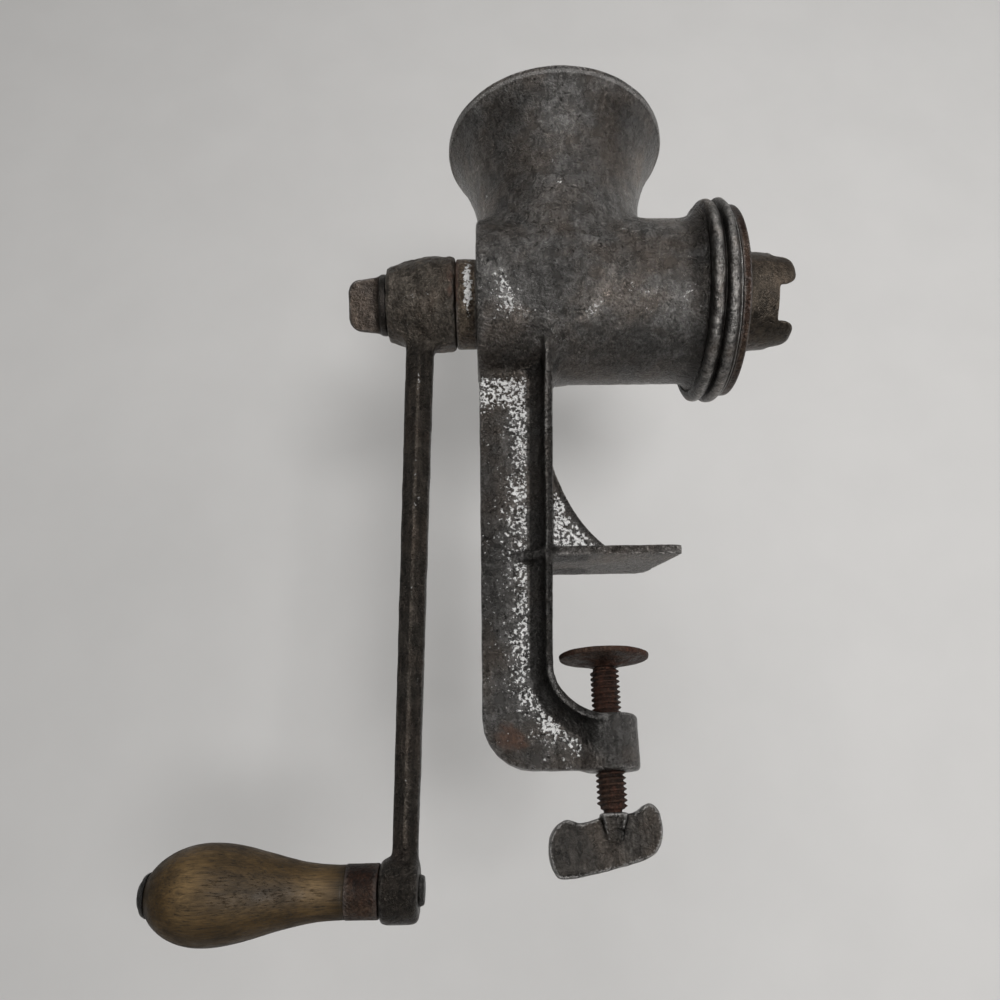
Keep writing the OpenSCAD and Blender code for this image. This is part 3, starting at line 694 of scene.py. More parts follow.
def squeeze(skin, share):
    """Move points towards the barrel's axis, or away from it, by a share for each."""
    skin.points[:, 1] *= share
    skin.points[:, 2] = (AXIS_Z + (skin.points[:, 2] / MM - AXIS_Z) * share) * MM


print("corner steps:", CORNER_STEPS)

# %% [markdown]
# ## The casting
# Hopper, barrel, leg and table plate are one pour of iron. The solid has all its true sizes but sharp
# inner corners, where a casting has fillets. Subdivision would need a clean cage of quads; an even
# remesh needs none, and then points are only allowed to rise, which fills every inner corner and
# leaves the outer size alone. Only the neck, where it runs into the barrel, is filled a lot. The table
# plate runs on past the leg's web as a short tapered tail, which is joined to the solid first.

# %% Casting: fillets
HOPPER_X = -8.3
BORE_R = 28.5
NECK_R, FLARE_R, FLARE_START_Z, FLARE_END_Z, FLARE_POWER = 33.7, 12.6, 150, 189.6, 1.8
VOXEL_CASTING = 0.8
PLATE_TAIL = [(-16, -12, 0.1), (-31.5, -4.5, 0.1), (-31.5, 4.5, 0.1), (-16, 12, 0.1)]
PLATE_TAIL_H = 3.45

solid = new_piece("casting solid", merged(nodes["body_casting"].data.copy()))
tail = prism("plate tail", PLATE_TAIL, (0, 0, PLATE_TAIL_H))
casting = remeshed(joined("casting", [solid, tail]), VOXEL_CASTING)


def casting_places(piece):
    """Each point's place in mm, and its distances from the barrel's, hopper's and clamp's axes."""
    x, y, z = (Skin(piece.data).points / MM).T
    return x, y, z, np.hypot(y, z - AXIS_Z), np.hypot(x - HOPPER_X, y), np.hypot(x, y)


x, y, z, from_barrel, from_hopper, from_clamp = casting_places(casting)
flare = NECK_R + FLARE_R * ramp(z, FLARE_START_Z, FLARE_END_Z) ** FLARE_POWER
inside = (from_barrel < BORE_R + 1.5) & (x > -40)
inside |= (from_hopper < flare - 2) & (z > AXIS_Z)
inside |= (from_barrel < 15) & (x < -37)
inside |= (from_clamp < 6.5) & (z < -45)
sharp = inside | ((x > 44) & (from_barrel > 30)) | ((z < 5) & (z > -1.5))
free = np.where(sharp, 0.0, 1.0)
neck = ramp(z, 116, 124) * np.where(x < 36, 1, 0.2) * (0.25 + 0.75 * ramp(np.abs(y), 8, 16))
fill_hollows(casting, 14, free)
fill_hollows(casting, 80, free * neck)
round_off(casting, 2, np.where(inside, 0.0, 1.0) * np.where(z < -45, 0.6, 1.0))
print("casting points:", len(casting.data.vertices))

# %% [markdown]
# ## The casting's own crookedness
# The leg's inner edge leans a little, as a pattern is drawn out of the sand at a slant, so the leg is
# wider at the barrel than at the bend. Where the neck runs onto the barrel, the iron stands a little
# proud in the shape of a bib, and a low ridge leads from it to the leg's flange. The mouth's beads are
# turned as a ring of their own, so here they are only pressed back under that ring. A slow unevenness
# comes last.

# %% Casting: lean of the leg, seat of the mouth ring
LEG_LEAN = 0.0385
LEAN_ZERO_Z = -8
LEG_BACK, LEG_FRONT = -42, -17.2
RING_BACK, RING_SEAT_R = 44.4, 37.6
BIB_X, BIB_Z, BIB_HALF_W, BIB_DROP, BIB_RISE = -13.4, 108, 21.4, 23, 1.0
RIDGE_X, RIDGE_W, RIDGE_RISE = -16.4, 1.7, 1.6


def leg_lean(z):
    """How far the leg's inner edge leans at a height."""
    return np.clip(LEG_LEAN * (z - LEAN_ZERO_Z), -1.0, 3.2)


def bib_reach(x, z):
    """1 on the bib's outline, less inside it and more outside."""
    return np.hypot((x - BIB_X) / BIB_HALF_W, np.minimum(z - BIB_Z, 0) / BIB_DROP)


skin = Skin(casting.data)
x, y, z, from_barrel, from_hopper, from_clamp = casting_places(casting)
lean = leg_lean(z) * ramp(x, LEG_BACK, LEG_FRONT) * ramp(z, -58, -44) * ramp(z, 92, 84)
lean *= np.where(z > 45, ramp(x, -4, -14), 1) * np.where(z < -40, ramp(x, -8, -16), 1)
under_ring = (x > RING_BACK) & (from_barrel > RING_SEAT_R)
press = np.where(under_ring, RING_SEAT_R / np.maximum(from_barrel, 1), 1)
rise = BIB_RISE * ramp(bib_reach(x, z), 1.04, 0.96) * ramp(z, 128, 118)
rise += RIDGE_RISE * np.exp(-((x - RIDGE_X) / RIDGE_W) ** 2) * ramp(z, 91, 86) * ramp(z, 68, 74)
on_barrel = (from_barrel > 32) & (from_barrel < 36.5) & (x > -40) & (x < 38)
press *= np.where(on_barrel, 1 + rise / np.maximum(from_barrel, 1), 1)
skin.points[:, 0] += (lean - np.where((x > 54.6) & (from_barrel > 36), 0.5, 0)) * MM
squeeze(skin, press)
skin.keep()
uneven(uneven(casting, 9, 0.3), 3, 0.18)
thinned(casting, 190000)
print("casting points:", len(casting.data.vertices))

# %% [markdown]
# ## The casting's tin, rust, grease, and painted light and shade
# Where the tin stayed is a matter of this one grinder's life, so it is painted: soft spots give how
# many specks there are about a place, and the shader's noise turns that into specks. Some of these
# spots are painted highlights: the barrel's bright band, the lit sides of the neck, and a thin line
# along the flange's edge. On the flat of the leg the specks crowd along the flange, and a damp corner
# has rusted. The grease spots are partly painted shade: the fillet between web and flange, the
# fillet under the barrel, the bib's lower part and the flare in front of the mouth ring are darkened.
# Light and shade spots make the iron lighter, or darker where they are below zero: they paint the
# barrel's highlight band, the hopper's highlight and the light reflections on its sides, and shade
# on the hopper's flanks and under the barrel.

# %% Casting: tin, rust and grease
BEND_X, BEND_Z, BEND_R, WEB_EDGE_R = -1.2, -38, 16, 25.6
TIN_AND_HIGHLIGHT_SPOTS = [
    ((5, -33, 88), (34, 8, 6), 0.36), ((-32, -30, 92), (9, 9, 9), 0.3), ((-20, -31, 88), (6, 8, 4), 0.4),
    ((-33, -30, 100), (6, 8, 8), 0.3), ((2, -33, 88), (7, 8, 4), 0.35), ((20, -31, 98), (14, 8, 7), 0.3),
    ((36, -30, 96), (3, 12, 20), 0.3), ((6, -43, 174), (9, 9, 8), 0.25), ((16, -40, 168), (3, 4, 3), 0.4),
    ((21, -15, 149), (6, 8, 9), 0.4), ((12, -20, 134), (7, 8, 7), 0.45), ((17, -24, 126), (6, 8, 6), 0.4),
    ((-40, -15, 150), (6, 8, 9), 0.4), ((-41, -10, 120), (4, 12, 16), 0.4),
    ((-38, -22, 112), (6, 8, 10), 0.3), ((-12, -34, 155), (1.5, 4, 1.5), 0.7),
    ((-10, -34, 145), (1.6, 4, 1.6), 0.7), ((44, -25, 90), (4, 12, 14), 0.2),
    ((-13, -20, 78), (4, 8, 9), 0.3), ((8, -12, -66), (5, 8, 6), 0.25), ((5, 0, -1), (26, 14, 1.5), 0.15),
]
RUST_SPOTS = [
    ((-33, -3, -61), (9, 6, 8), 0.7), ((5, -11, 2), (24, 3, 3), 0.4), ((-6, -33, 100), (9, 8, 6), 0.25),
    ((-4, -40, 158), (12, 8, 7), 0.25), ((30, -30, 95), (14, 10, 14), 0.15),
    ((55, -30, 100), (2, 30, 30), 0.3),
]
GREASE_AND_SHADE_SPOTS = [
    ((41.5, 0, 112), (4, 60, 60), 1.0), ((18, -26, 80), (24, 16, 7), 0.4), ((-14, -33, 99), (11, 9, 8), 0.55),
    ((-38, -4, 10), (7, 6, 60), 0.7), ((-30, -4, -66), (16, 6, 7), 0.4), ((0, -10, -62), (12, 8, 14), 0.4),
    ((5, -12, 2), (26, 1.5, 3), 0.5), ((-30, -16, 78), (12, 12, 7), 0.8), ((-24, -12, 2), (8, 10, 4), 0.7),
]
PAINTED_LIGHT_SPOTS = [
    ((-8, -42, 169), (6, 8, 7), 0.9), ((-32, -34, 172), (12, 14, 13), -0.45),
    ((17, -36, 172), (13, 14, 12), -0.36), ((-26, -28, 150), (8, 10, 14), -0.4),
    ((-44, -10, 166), (5, 13, 13), 1.0), ((25, -10, 166), (5, 13, 13), 1.1),
    ((17, -16, 149), (5, 10, 9), 1.1), ((-38, -14, 149), (4, 10, 8), 0.7),
    ((-30, -36, 182), (13, 12, 6), -0.4), ((20, -38, 182), (13, 12, 6), -0.4),
    ((10, -33, 94), (34, 12, 9), 0.5), ((33, -30, 92), (10, 12, 7), 0.6), ((18, -16, 81), (24, 16, 6), -0.45),
    ((40, -24, 86), (3.5, 16, 12), 0.7), ((28, -28, 132), (14, 12, 9), 0.5), ((5, -6, 0), (30, 18, 1.2), 0.6),
]

x, y, z, from_barrel, from_hopper, from_clamp = casting_places(casting)
web_edge_x = -26.4 + 0.02 * z
in_bend = np.hypot(x - BEND_X, z - BEND_Z)
into_web = np.where(z > BEND_Z, web_edge_x - x, in_bend - WEB_EDGE_R)
into_flange = np.where(z > BEND_Z, LEG_FRONT + leg_lean(z) - x, in_bend - BEND_R)
leg = (z < 80) & (from_barrel > 33.4) & (x < -4)
web = leg & (np.abs(y) < 4.4) & (into_web > -1.2) & (z < 78.5)
strip = leg & (into_web < 0.4) & (np.abs(y) > 3.9) & (np.abs(y) < 11.2)
side_on = np.abs(Skin(casting.data).normals()[:, 1]) > 0.6
rim = leg & side_on & (np.abs(y) > 8) & (into_flange > -1) & (into_flange < 3.6)
gusset = (z > 3.2) & (z < 45) & (x > LEG_FRONT - 1) & (np.abs(y) < 3)
along = np.linspace(0, 1, 30)
gusset_edge = np.array([[6.8, 3.65], [-9.3, 14.0], [-17.2, 40.6]]).T @ np.array(
    [(1 - along) ** 2, 2 * along * (1 - along), along ** 2])
to_edge = np.hypot(x[gusset, None] - gusset_edge[0], z[gusset, None] - gusset_edge[1]).min(axis=1)

# Tin specks; some spots are painted highlights: the barrel's bright band and the lit neck.
tin_and_highlight = spots(casting, TIN_AND_HIGHLIGHT_SPOTS)
crowd = np.exp(-(into_web[web] / 7.5) ** 2)
tin_and_highlight[web] = (0.2 + 0.4 * np.maximum(crowd, ramp(z[web], 58, 66))) * ramp(z[web], 77, 75)
# The fillet between web and flange gets no specks. On the flange's near face, a thin line of specks along its
# edge is a painted highlight.
tin_and_highlight[strip] = -0.2
arris = np.exp(-((into_flange[rim] - 2.5) / 0.5) ** 2)
tin_and_highlight[rim] = 0.5 * arris - 0.2
tin_and_highlight[gusset] = 0.58
grease_and_shade = spots(casting, GREASE_AND_SHADE_SPOTS)
# Painted shade in the fillet between web and flange; the flange's near face is painted dark except along its
# highlight line.
grease_and_shade[strip] = 0.9
grease_and_shade[rim] = 0.9 - 0.9 * arris
grease_and_shade[web] *= ramp(into_web[web], 3, 11)
grease_and_shade[gusset] = np.exp(-(to_edge / 1.1) ** 2)
tin_and_highlight[gusset] -= 0.9 * grease_and_shade[gusset]
# A painted highlight line along the bib's outline, as a few specks and lighter iron higher up.
outline = np.exp(-((bib_reach(x, z) - 1) * 11) ** 2) * ((y < -15) & (z < 106))
tin_and_highlight += np.where((z > 80) & (from_barrel < 36), 0.12 * outline, 0)
paint(casting, "tin_and_highlight", tin_and_highlight)
paint(casting, "grease_and_shade", grease_and_shade)
paint(casting, "rust", spots(casting, RUST_SPOTS))
paint(casting, "tone_and_painted_light", spots(casting, PAINTED_LIGHT_SPOTS) + np.where(z > 88, outline, 0))
finish(casting, casting_iron, "body", "casting", "body_casting")

# %% [markdown]
# ## The mouth's beads and the hopper's lip
# Two round beads with a deep groove between them stiffen the mouth, and a plain lip stiffens the
# hopper. Both belong to the casting, but their crisp lines run round an axis, so a lathe makes them
# better than an even remesh does.

# %% Mouth ring and lip
MOUTH_SLANT = 0.03


def bead(x, radius, size, steps=10):
    """Half-round bead of an outline, from back to front."""
    angles = np.radians(np.linspace(168, 12, steps))
    return [(x + size * math.cos(angle), radius + size * math.sin(angle)) for angle in angles]


mouth = turned("mouth", [(44.2, 36.4), (44.2, 38.0, 0.1)] + bead(47.0, 38.1, 2.3) + [(50.0, 37.5, 0.3)]
               + bead(52.4, 38.9, 1.9) + [(54.6, 38.3, 0.1), (55.3, 38.6, 0.25), (55.3, 36.4)],
               AXIS_Z, closed=True, sides=160, gap_mm=0.7)
skin = Skin(mouth.data)
mouth_x, _, mouth_z = (skin.points / MM).T
skin.points[:, 0] += MOUTH_SLANT * (mouth_z - AXIS_Z) * ramp(mouth_x, 55.3, 51.5) * MM
skin.keep()
uneven(uneven(mouth, 9, 0.3), 3, 0.12)
# The crests get painted highlights, as lighter iron and tin specks; the grooves and the ring's back edge get
# painted shade.
crests = np.exp(-((mouth_x - 46.8) / 0.9) ** 2) + np.exp(-((mouth_x - 52.6) / 0.7) ** 2)
grooves = np.exp(-((mouth_x - 50.0) / 0.9) ** 2) + 0.6 * np.exp(-((mouth_x - 54.6) / 0.4) ** 2)
paint(mouth, "grease_and_shade", 0.9 * grooves + ramp(mouth_x, 45.3, 44.5))
paint(mouth, "tin_and_highlight", 0.3 * crests + 0.45 * ramp(mouth_x, 54.9, 55.2))
paint(mouth, "tone_and_painted_light", 0.8 * crests)
finish(mouth, mouth_iron, "body", "casting")

lip = turned("lip", [(188.0, 44.2), (188.6, 45.95, 0.3), (189.5, 46.4, 0.4), (191.6, 46.4, 0.5),
                     (192.2, 45.8, 0.5), (192.2, 43.4, 0.8), (190.4, 42.2)],
             closed=True, sides=160, gap_mm=0.8)
lip.data.transform(Matrix.Translation((HOPPER_X * MM, 0, 0)))
uneven(lip, 9, 0.35)
paint_spots(lip, "rust", [((HOPPER_X, -46, 192), (34, 20, 1.6), 0.5)])
paint_spots(lip, "tin_and_highlight", [((-2, -46, 191), (18, 8, 0.8), 0.3), ((22, -35, 191), (10, 10, 1), 0.35)])
finish(lip, casting_iron, "body", "casting")

# %% [markdown]
# ## Bush and washer
# Behind the casting sits a brown bush, a plain turned collar with a spigot in the rear wall. It is a
# ring, so its outline closes on itself. The washer inside is seen only through the hopper and keeps
# its solid, with a finish of its own.

# %% Bush
BUSH_BACK, BUSH_FRONT, BUSH_R, SHAFT_R = -51, -42.85, 18, 9.55
bush = turned("bush", [
    (BUSH_BACK, SHAFT_R), (BUSH_BACK, BUSH_R, 0.9), (BUSH_FRONT, BUSH_R, 0.9), (BUSH_FRONT, 13.05),
    (-38.3, 13.05, 0.3), (-38.3, SHAFT_R)], AXIS_Z, closed=True)
uneven(bush, 5, 0.35)
paint_spots(bush, "tin_and_highlight", [((-46.2, -17, 112), (2.2, 10, 12), 1.0), ((-46, -12, 100), (2, 12, 8), 0.3)])
paint_spots(bush, "rust", [((BUSH_BACK, -14, 112), (2.0, 20, 30), 0.45)])
paint_spots(bush, "tone_and_painted_light", [((-46, -17, 116), (3, 12, 14), 0.5)])
finish(bush, bush_iron, "body", "rusty_steel", "rear_bush")

washer = nodes["thrust_washer"]
washer.data.materials.clear()
washer.data.materials.append(dark_steel)
print("washer keeps its solid")

# %% [markdown]
# ## Ribs that wind round a core
# The feed worm's flight and the clamp screw's thread are the same thing at two sizes: a rib with a
# tapered section that winds round a core. A screw modifier could do it, but a Geometry Nodes tree
# takes a radius, a pitch and a length as named inputs and serves both. Its spiral curve carries a
# four-sided section, whose outer side swaps with the hand, and the rib joins the tree's own core.

# %% Geometry Nodes: winding rib
def named_inputs(tree, inputs):
    """Give a geometry tree its named inputs and its one output."""
    for name, kind in inputs.items():
        tree.interface.new_socket(name, in_out="INPUT", socket_type=kind)
    tree.interface.new_socket("Geometry", in_out="OUTPUT", socket_type="NodeSocketGeometry")
    return tree.nodes.new("NodeGroupInput").outputs, tree.nodes.new("NodeGroupOutput").inputs


winding_rib = bpy.data.node_groups.new("winding_rib", "GeometryNodeTree")
given, result = named_inputs(winding_rib, {
    "Core": "NodeSocketGeometry", "Root radius": "NodeSocketFloat", "Height": "NodeSocketFloat",
    "Root width": "NodeSocketFloat", "Crest width": "NodeSocketFloat", "Pitch": "NodeSocketFloat",
    "Length": "NodeSocketFloat", "Start": "NodeSocketFloat", "Steps a turn": "NodeSocketInt",
    "Right-handed": "NodeSocketBool", "Material": "NodeSocketMaterial"})
turns = maths(winding_rib, "DIVIDE", given["Length"], given["Pitch"])
path = add(winding_rib, "GeometryNodeCurveSpiral", {
    "Resolution": given["Steps a turn"], "Rotations": turns, "Start Radius": given["Root radius"],
    "End Radius": given["Root radius"], "Height": given["Length"], "Reverse": given["Right-handed"]})
path = add(winding_rib, "GeometryNodeSetCurveNormal", {"Curve": path.outputs[0]}, mode="Z_UP")
section = add(winding_rib, "GeometryNodeCurvePrimitiveQuadrilateral", mode="POINTS")
outwards = weighed(winding_rib, given["Right-handed"], 2.0, -1.0)
crest = maths(winding_rib, "MULTIPLY", given["Height"], outwards)
corners = ((0, "Root width", 0.5), (crest, "Crest width", 0.5),
           (crest, "Crest width", -0.5), (0, "Root width", -0.5))
for number, (depth, width, half) in enumerate(corners, 1):
    across = maths(winding_rib, "MULTIPLY", given[width], half)
    corner = add(winding_rib, "ShaderNodeCombineXYZ", {0: depth, 1: across})
    fill(winding_rib, section.inputs["Point %d" % number], corner.outputs[0])
rib = add(winding_rib, "GeometryNodeCurveToMesh", {
    "Curve": path.outputs[0], "Profile Curve": section.outputs[0], "Fill Caps": True})
start = add(winding_rib, "ShaderNodeCombineXYZ", {2: given["Start"]})
rib = add(winding_rib, "GeometryNodeTransform", {"Geometry": rib.outputs[0], "Translation": start.outputs[0]})
whole = add(winding_rib, "GeometryNodeJoinGeometry", {0: rib.outputs[0]})
winding_rib.links.new(given["Core"], whole.inputs[0])
real = add(winding_rib, "GeometryNodeRealizeInstances", {0: whole.outputs[0]})
shown = add(winding_rib, "GeometryNodeSetMaterial", {
    "Geometry": real.outputs[0], "Material": given["Material"]})
fill(winding_rib, result["Geometry"], shown.outputs[0])


def grown(piece, tree, values):
    """Run a tree on a piece with named values, and keep the result as its plain mesh."""
    modifier = piece.modifiers.new(tree.name, "NODES")
    modifier.node_group = tree
    for item in tree.interface.items_tree:
        if item.in_out == "INPUT" and item.name in values:
            modifier[item.identifier] = values[item.name]
    return apply_modifiers(piece)


print("tree:", winding_rib.name)

# %% [markdown]
# ## The feed worm
# The worm pushes meat from the hopper to the cutter. Its core, its round journal and its stud are
# turned, and its flight is a left-handed rib, so that cranking clockwise drives forwards. The tree
# winds about Z, so the worm is made standing up and laid along the barrel's axis afterwards.

# %% Feed worm
WORM_START, WORM_END, STUD_END = -35.7, 55.0, 74.6
FLIGHT_START, FLIGHT_LENGTH, FLIGHT_PITCH = -31.2, 81.7, 32
TANG_W, DRIVE_W = 13, 14
SQUARE = 1 / math.sqrt(2)
LAID_ALONG_X = Matrix(((0, 0, 1, 0), (0, 1, 0, 0), (-1, 0, 0, AXIS_Z * MM), (0, 0, 0, 1)))

worm_core = turned("worm core", [
    (-51.3, 0), (-51.3, 9.5, 0.4), (WORM_START, 9.5), (WORM_START, 11, 0.6), (WORM_END, 11, 0.6),
    (WORM_END, 6.5), (STUD_END, 6.5, 0.8), (STUD_END, 0)])
tang = turned("tang", [(-76.8, 0), (-76.8, TANG_W * SQUARE, 0.5), (-50, TANG_W * SQUARE), (-50, 0)], sides=4)
drive = turned("drive", [(WORM_END - 1, 0), (WORM_END - 1, DRIVE_W * SQUARE), (58.8, DRIVE_W * SQUARE),
                         (58.8, 0)], sides=4)
worm = joined("worm", [worm_core, tang, drive])
grown(worm, winding_rib, {
    "Root radius": 10 * MM, "Height": 17.7 * MM, "Root width": 7 * MM, "Crest width": 3.5 * MM,
    "Pitch": FLIGHT_PITCH * MM, "Length": FLIGHT_LENGTH * MM, "Start": FLIGHT_START * MM,
    "Steps a turn": 64, "Right-handed": False, "Material": worm_iron})
worm.data.transform(LAID_ALONG_X)
remeshed(worm, 0.7)
along = Skin(worm.data).points[:, 0] / MM
fill_hollows(worm, 20, ((along > WORM_START + 1) & (along < WORM_END - 1)).astype(float))
round_off(worm, 2)
finish(worm, worm_iron, "drive", "casting", "feed_screw")

# %% [markdown]
# ## The cutter disc and its holes
# Minced meat comes out through a ring of holes round the nut. They repeat, so a Geometry Nodes tree
# sets one short cylinder on each point of a circle and cuts them all from the disc at once.

# %% Cutter disc
hole_ring = bpy.data.node_groups.new("hole_ring", "GeometryNodeTree")
given, result = named_inputs(hole_ring, {
    "Disc": "NodeSocketGeometry", "Holes": "NodeSocketInt", "Ring radius": "NodeSocketFloat",
    "Hole radius": "NodeSocketFloat", "Depth": "NodeSocketFloat", "Centre": "NodeSocketVector",
    "Material": "NodeSocketMaterial"})
across_x = (0, math.pi / 2, 0)
ring = add(hole_ring, "GeometryNodeMeshCircle", {"Vertices": given["Holes"], "Radius": given["Ring radius"]})
drill = add(hole_ring, "GeometryNodeMeshCylinder", {
    "Vertices": 32, "Radius": given["Hole radius"], "Depth": given["Depth"]})
drills = add(hole_ring, "GeometryNodeInstanceOnPoints", {
    "Points": ring.outputs[0], "Instance": drill.outputs[0]})
placed = add(hole_ring, "GeometryNodeTransform", {
    "Geometry": drills.outputs[0], "Translation": given["Centre"], "Rotation": across_x})
drills = add(hole_ring, "GeometryNodeRealizeInstances", {0: placed.outputs[0]})
drilled = add(hole_ring, "GeometryNodeMeshBoolean", {"Mesh 1": given["Disc"], "Mesh 2": drills.outputs[0]},
              operation="DIFFERENCE")
shown = add(hole_ring, "GeometryNodeSetMaterial", {
    "Geometry": drilled.outputs[0], "Material": given["Material"]})
fill(hole_ring, result["Geometry"], shown.outputs[0])

DISC_BACK, DISC_FRONT, DISC_R = 55.6, 58.9, 38.1
disc = turned("disc", [(DISC_BACK, 9.9), (DISC_BACK, DISC_R, 0.8), (DISC_FRONT, DISC_R, 0.9),
                       (DISC_FRONT, 9.9)], AXIS_Z, closed=True)
grown(disc, hole_ring, {
    "Holes": 14, "Ring radius": 24.85 * MM, "Hole radius": 2.8 * MM, "Depth": 8 * MM,
    "Centre": ((DISC_BACK + DISC_FRONT) / 2 * MM, 0, AXIS_Z * MM), "Material": disc_iron})
merged(disc.data)
finish(disc, disc_iron, "drive", "rusty_steel", "cutter_disc")

# %% [markdown]
# ## The cutter nut
# Four lobes let a stick or a spanner turn the nut. On the real one the lobes run back along the nut as
# low ribs, so the surface between them is sunk a little, most in the middle of each gap. The lobes'
# ends are round: a point drops the more, the nearer it is to a notch, as on a quarter circle.

# %% Nut
NOTCH_TURN, NOTCH_HALF, NOTCH_FLOOR = math.radians(36), 7.0, 74.5
LOBE_LENGTH, LOBE_ROUND = 6.3, 3.7
SINK_MM = 0.5

nut = solid_copy("nut", "cutter_nut", 0.4)
skin = Skin(nut.data)
x, y, z = (skin.points / MM).T
radius, turn = np.hypot(y, z - AXIS_Z), np.arctan2(y, AXIS_Z - z) - NOTCH_TURN
from_notch = radius * np.minimum(np.abs(np.cos(turn)), np.abs(np.sin(turn))) - NOTCH_HALF
slope = np.clip(LOBE_ROUND - from_notch, 0, LOBE_ROUND)
drop = LOBE_ROUND - np.sqrt(np.maximum(LOBE_ROUND ** 2 - slope ** 2, 0))
skin.points[:, 0] -= np.maximum(x - NOTCH_FLOOR, 0) * drop / LOBE_LENGTH * MM
sink = np.where(radius > 12, SINK_MM * np.cos(2 * turn) ** 2 * ramp(x, 60, 68), 0)
squeeze(skin, 1 - sink / np.maximum(radius, 1))
skin.keep()
round_off(fill_hollows(nut, 4), 14)
uneven(nut, 7, 0.3)
paint_spots(nut, "rust", [((60, 0, AXIS_Z), (3, 30, 30), 0.35)])
paint_spots(nut, "tin_and_highlight", [((64, -16, 98), (6, 8, 4), 0.5), ((62, -19, 116), (4, 6, 5), 0.2)])
finish(nut, nut_iron, "drive", "rusty_steel", "cutter_nut")

# %% [markdown]
# ## The crank and its thumb screw
# These are castings too, with wide fillets in their inner corners. The hub is lumpier and lighter than
# the arm, with tin specks that are partly painted glints, and a painted highlight runs down the arm's ridge.

# %% Crank and thumb screw
RIDGE_TOP, RIDGE_END = (-65.6, 104.7), (-67.2, -106.4)

crank = solid_copy("crank", "crank_arm", 0.55)
filleted(crank, 4, 0.55, lambda places: ramp(places[:, 2], 55, 75))
x, y, z = (Skin(crank.data).points / MM).T
bored = (np.hypot(y, z - AXIS_Z) < 10.5) | (np.hypot(y, z - GRIP_Z) < 4.5)
on_arm = ramp(z, 88, 80) * ramp(z, -98, -90)
free = np.where(bored, 0.0, 1.0)
fill_hollows(crank, 30, free * (1 - 0.8 * on_arm))
round_off(crank, 3, free * (1 - 0.7 * on_arm))
uneven(crank, 9, 0.4)
uneven(crank, 3.5, 0.9, ramp(z, 84, 94))
x, y, z = (Skin(crank.data).points / MM).T
# The arm's ridge gets a painted highlight, as lighter iron and tin specks; the hub's specks are partly
# painted glints.
ridge_x = np.interp(z, [RIDGE_END[1], RIDGE_TOP[1]], [RIDGE_END[0], RIDGE_TOP[0]])
ridge = np.exp(-((x - ridge_x) / 0.55) ** 2) * (np.abs(y) > 3.2) * on_arm
hub = ramp(z, 88, 94)
paint(crank, "tin_and_highlight", 0.35 * ridge + 0.22 * hub + spots(crank, [
    ((-65, -5, 74), (1.2, 3, 5), 0.5), ((-65, -5, 24), (1.2, 3, 4), 0.4), ((-64, -5, -41), (1.6, 3, 7), 0.6),
    ((-65, -5, -80), (1.2, 3, 6), 0.4), ((-72, -18, 94), (2.5, 4, 4), 0.5),
    ((-64, -19, 104), (6, 6, 6), 0.15), ((-68, -9, -106), (6, 4, 8), 0.2), ((-66, -9, 88), (5, 5, 4), 0.2)]))
paint(crank, "tone_and_painted_light", 2.2 * ridge + 2.2 * hub)
paint_spots(crank, "rust", [((-53, -19, 108), (2.5, 10, 18), 0.5), ((-62, -19, 118), (14, 8, 10), 0.2)])
finish(crank, crank_iron, "drive", "crank_iron", "crank_arm")

thumb_screw = solid_copy("thumb_screw", "crank_screw", 0.4)
filleted(thumb_screw, 2.6, 0.4)
round_off(fill_hollows(thumb_screw, 20), 6)
uneven(thumb_screw, 6, 0.4)
x, y, z = (Skin(thumb_screw.data).points / MM).T
# Painted shade where the screw meets the hub.
paint(thumb_screw, "grease_and_shade", 0.85 * ramp(x, -83.5, -81.5))
paint_spots(thumb_screw, "tin_and_highlight", [((-80, -9, 106), (2, 6, 8), 0.3), ((-92, -6, 104), (3, 6, 5), 0.3)])
finish(thumb_screw, spade_iron, "drive", "rusty_steel", "crank_screw")

# %% [markdown]
# ## The grip
# A rivet carries a wooden grip that turns freely. The wood's outline swells from the neck to a crown
# near its outer end; a cosine gives that swell and an ellipse the rounded end. The ferrule keeps the
# neck from splitting, and a dark washer sits under the rivet's domed head.

# %% Grip
NECK_X, TIP_X = -85.4, -146.6
GRIP_R, NECK_R, END_R, CROWN = 15.2, 8.0, 6.6, 18.5
TENON_R, TENON_X = 6.8, -75.1
RIVET_R = 3.65
SWELL = 1.15


def grip_radius(x):
    """Radius of the wood at a place along the grip."""
    crown_x = TIP_X + CROWN
    if x > crown_x:
        share = ((NECK_X - x) / (NECK_X - crown_x)) ** SWELL
        return NECK_R + (GRIP_R - NECK_R) * (1 - math.cos(math.pi * share)) / 2
    bulge = math.sqrt(1 - (END_R / GRIP_R) ** 2) * (crown_x - x) / CROWN
    return GRIP_R * math.sqrt(1 - bulge ** 2)


swell = [(x, grip_radius(x)) for x in np.linspace(TIP_X, NECK_X, 60)]
tenon = [(NECK_X, TENON_R), (TENON_X, TENON_R), (TENON_X, RIVET_R)]
wood = turned("wood", [(TIP_X, RIVET_R)] + swell + tenon, GRIP_Z, closed=True)
uneven(wood, 14, 0.5)
# Golden spots: polish, and painted highlights on the front of the crown and on the top. The grime spots
# darken the ends, the front middle and the underside.
paint_spots(wood, "polish_and_highlight", [((-131, -14, -104), (5, 12, 10), 0.8), ((-94, -8, -105), (5, 8, 6), 0.7),
                             ((-115, -12, -110), (12, 8, 5), 0.25), ((-120, -9, -95), (22, 10, 5), 0.2)])
paint_spots(wood, "grime", [
    ((TIP_X, 0, GRIP_Z), (5, 22, 22), 0.7), ((NECK_X, 0, GRIP_Z), (2.2, 20, 20), 0.95),
    ((-112, -14, -106), (11, 8, 9), 0.45), ((-118, -6, -120), (26, 10, 4), 0.25)])
finish(wood, grip_wood, "grip", "wood", "grip")

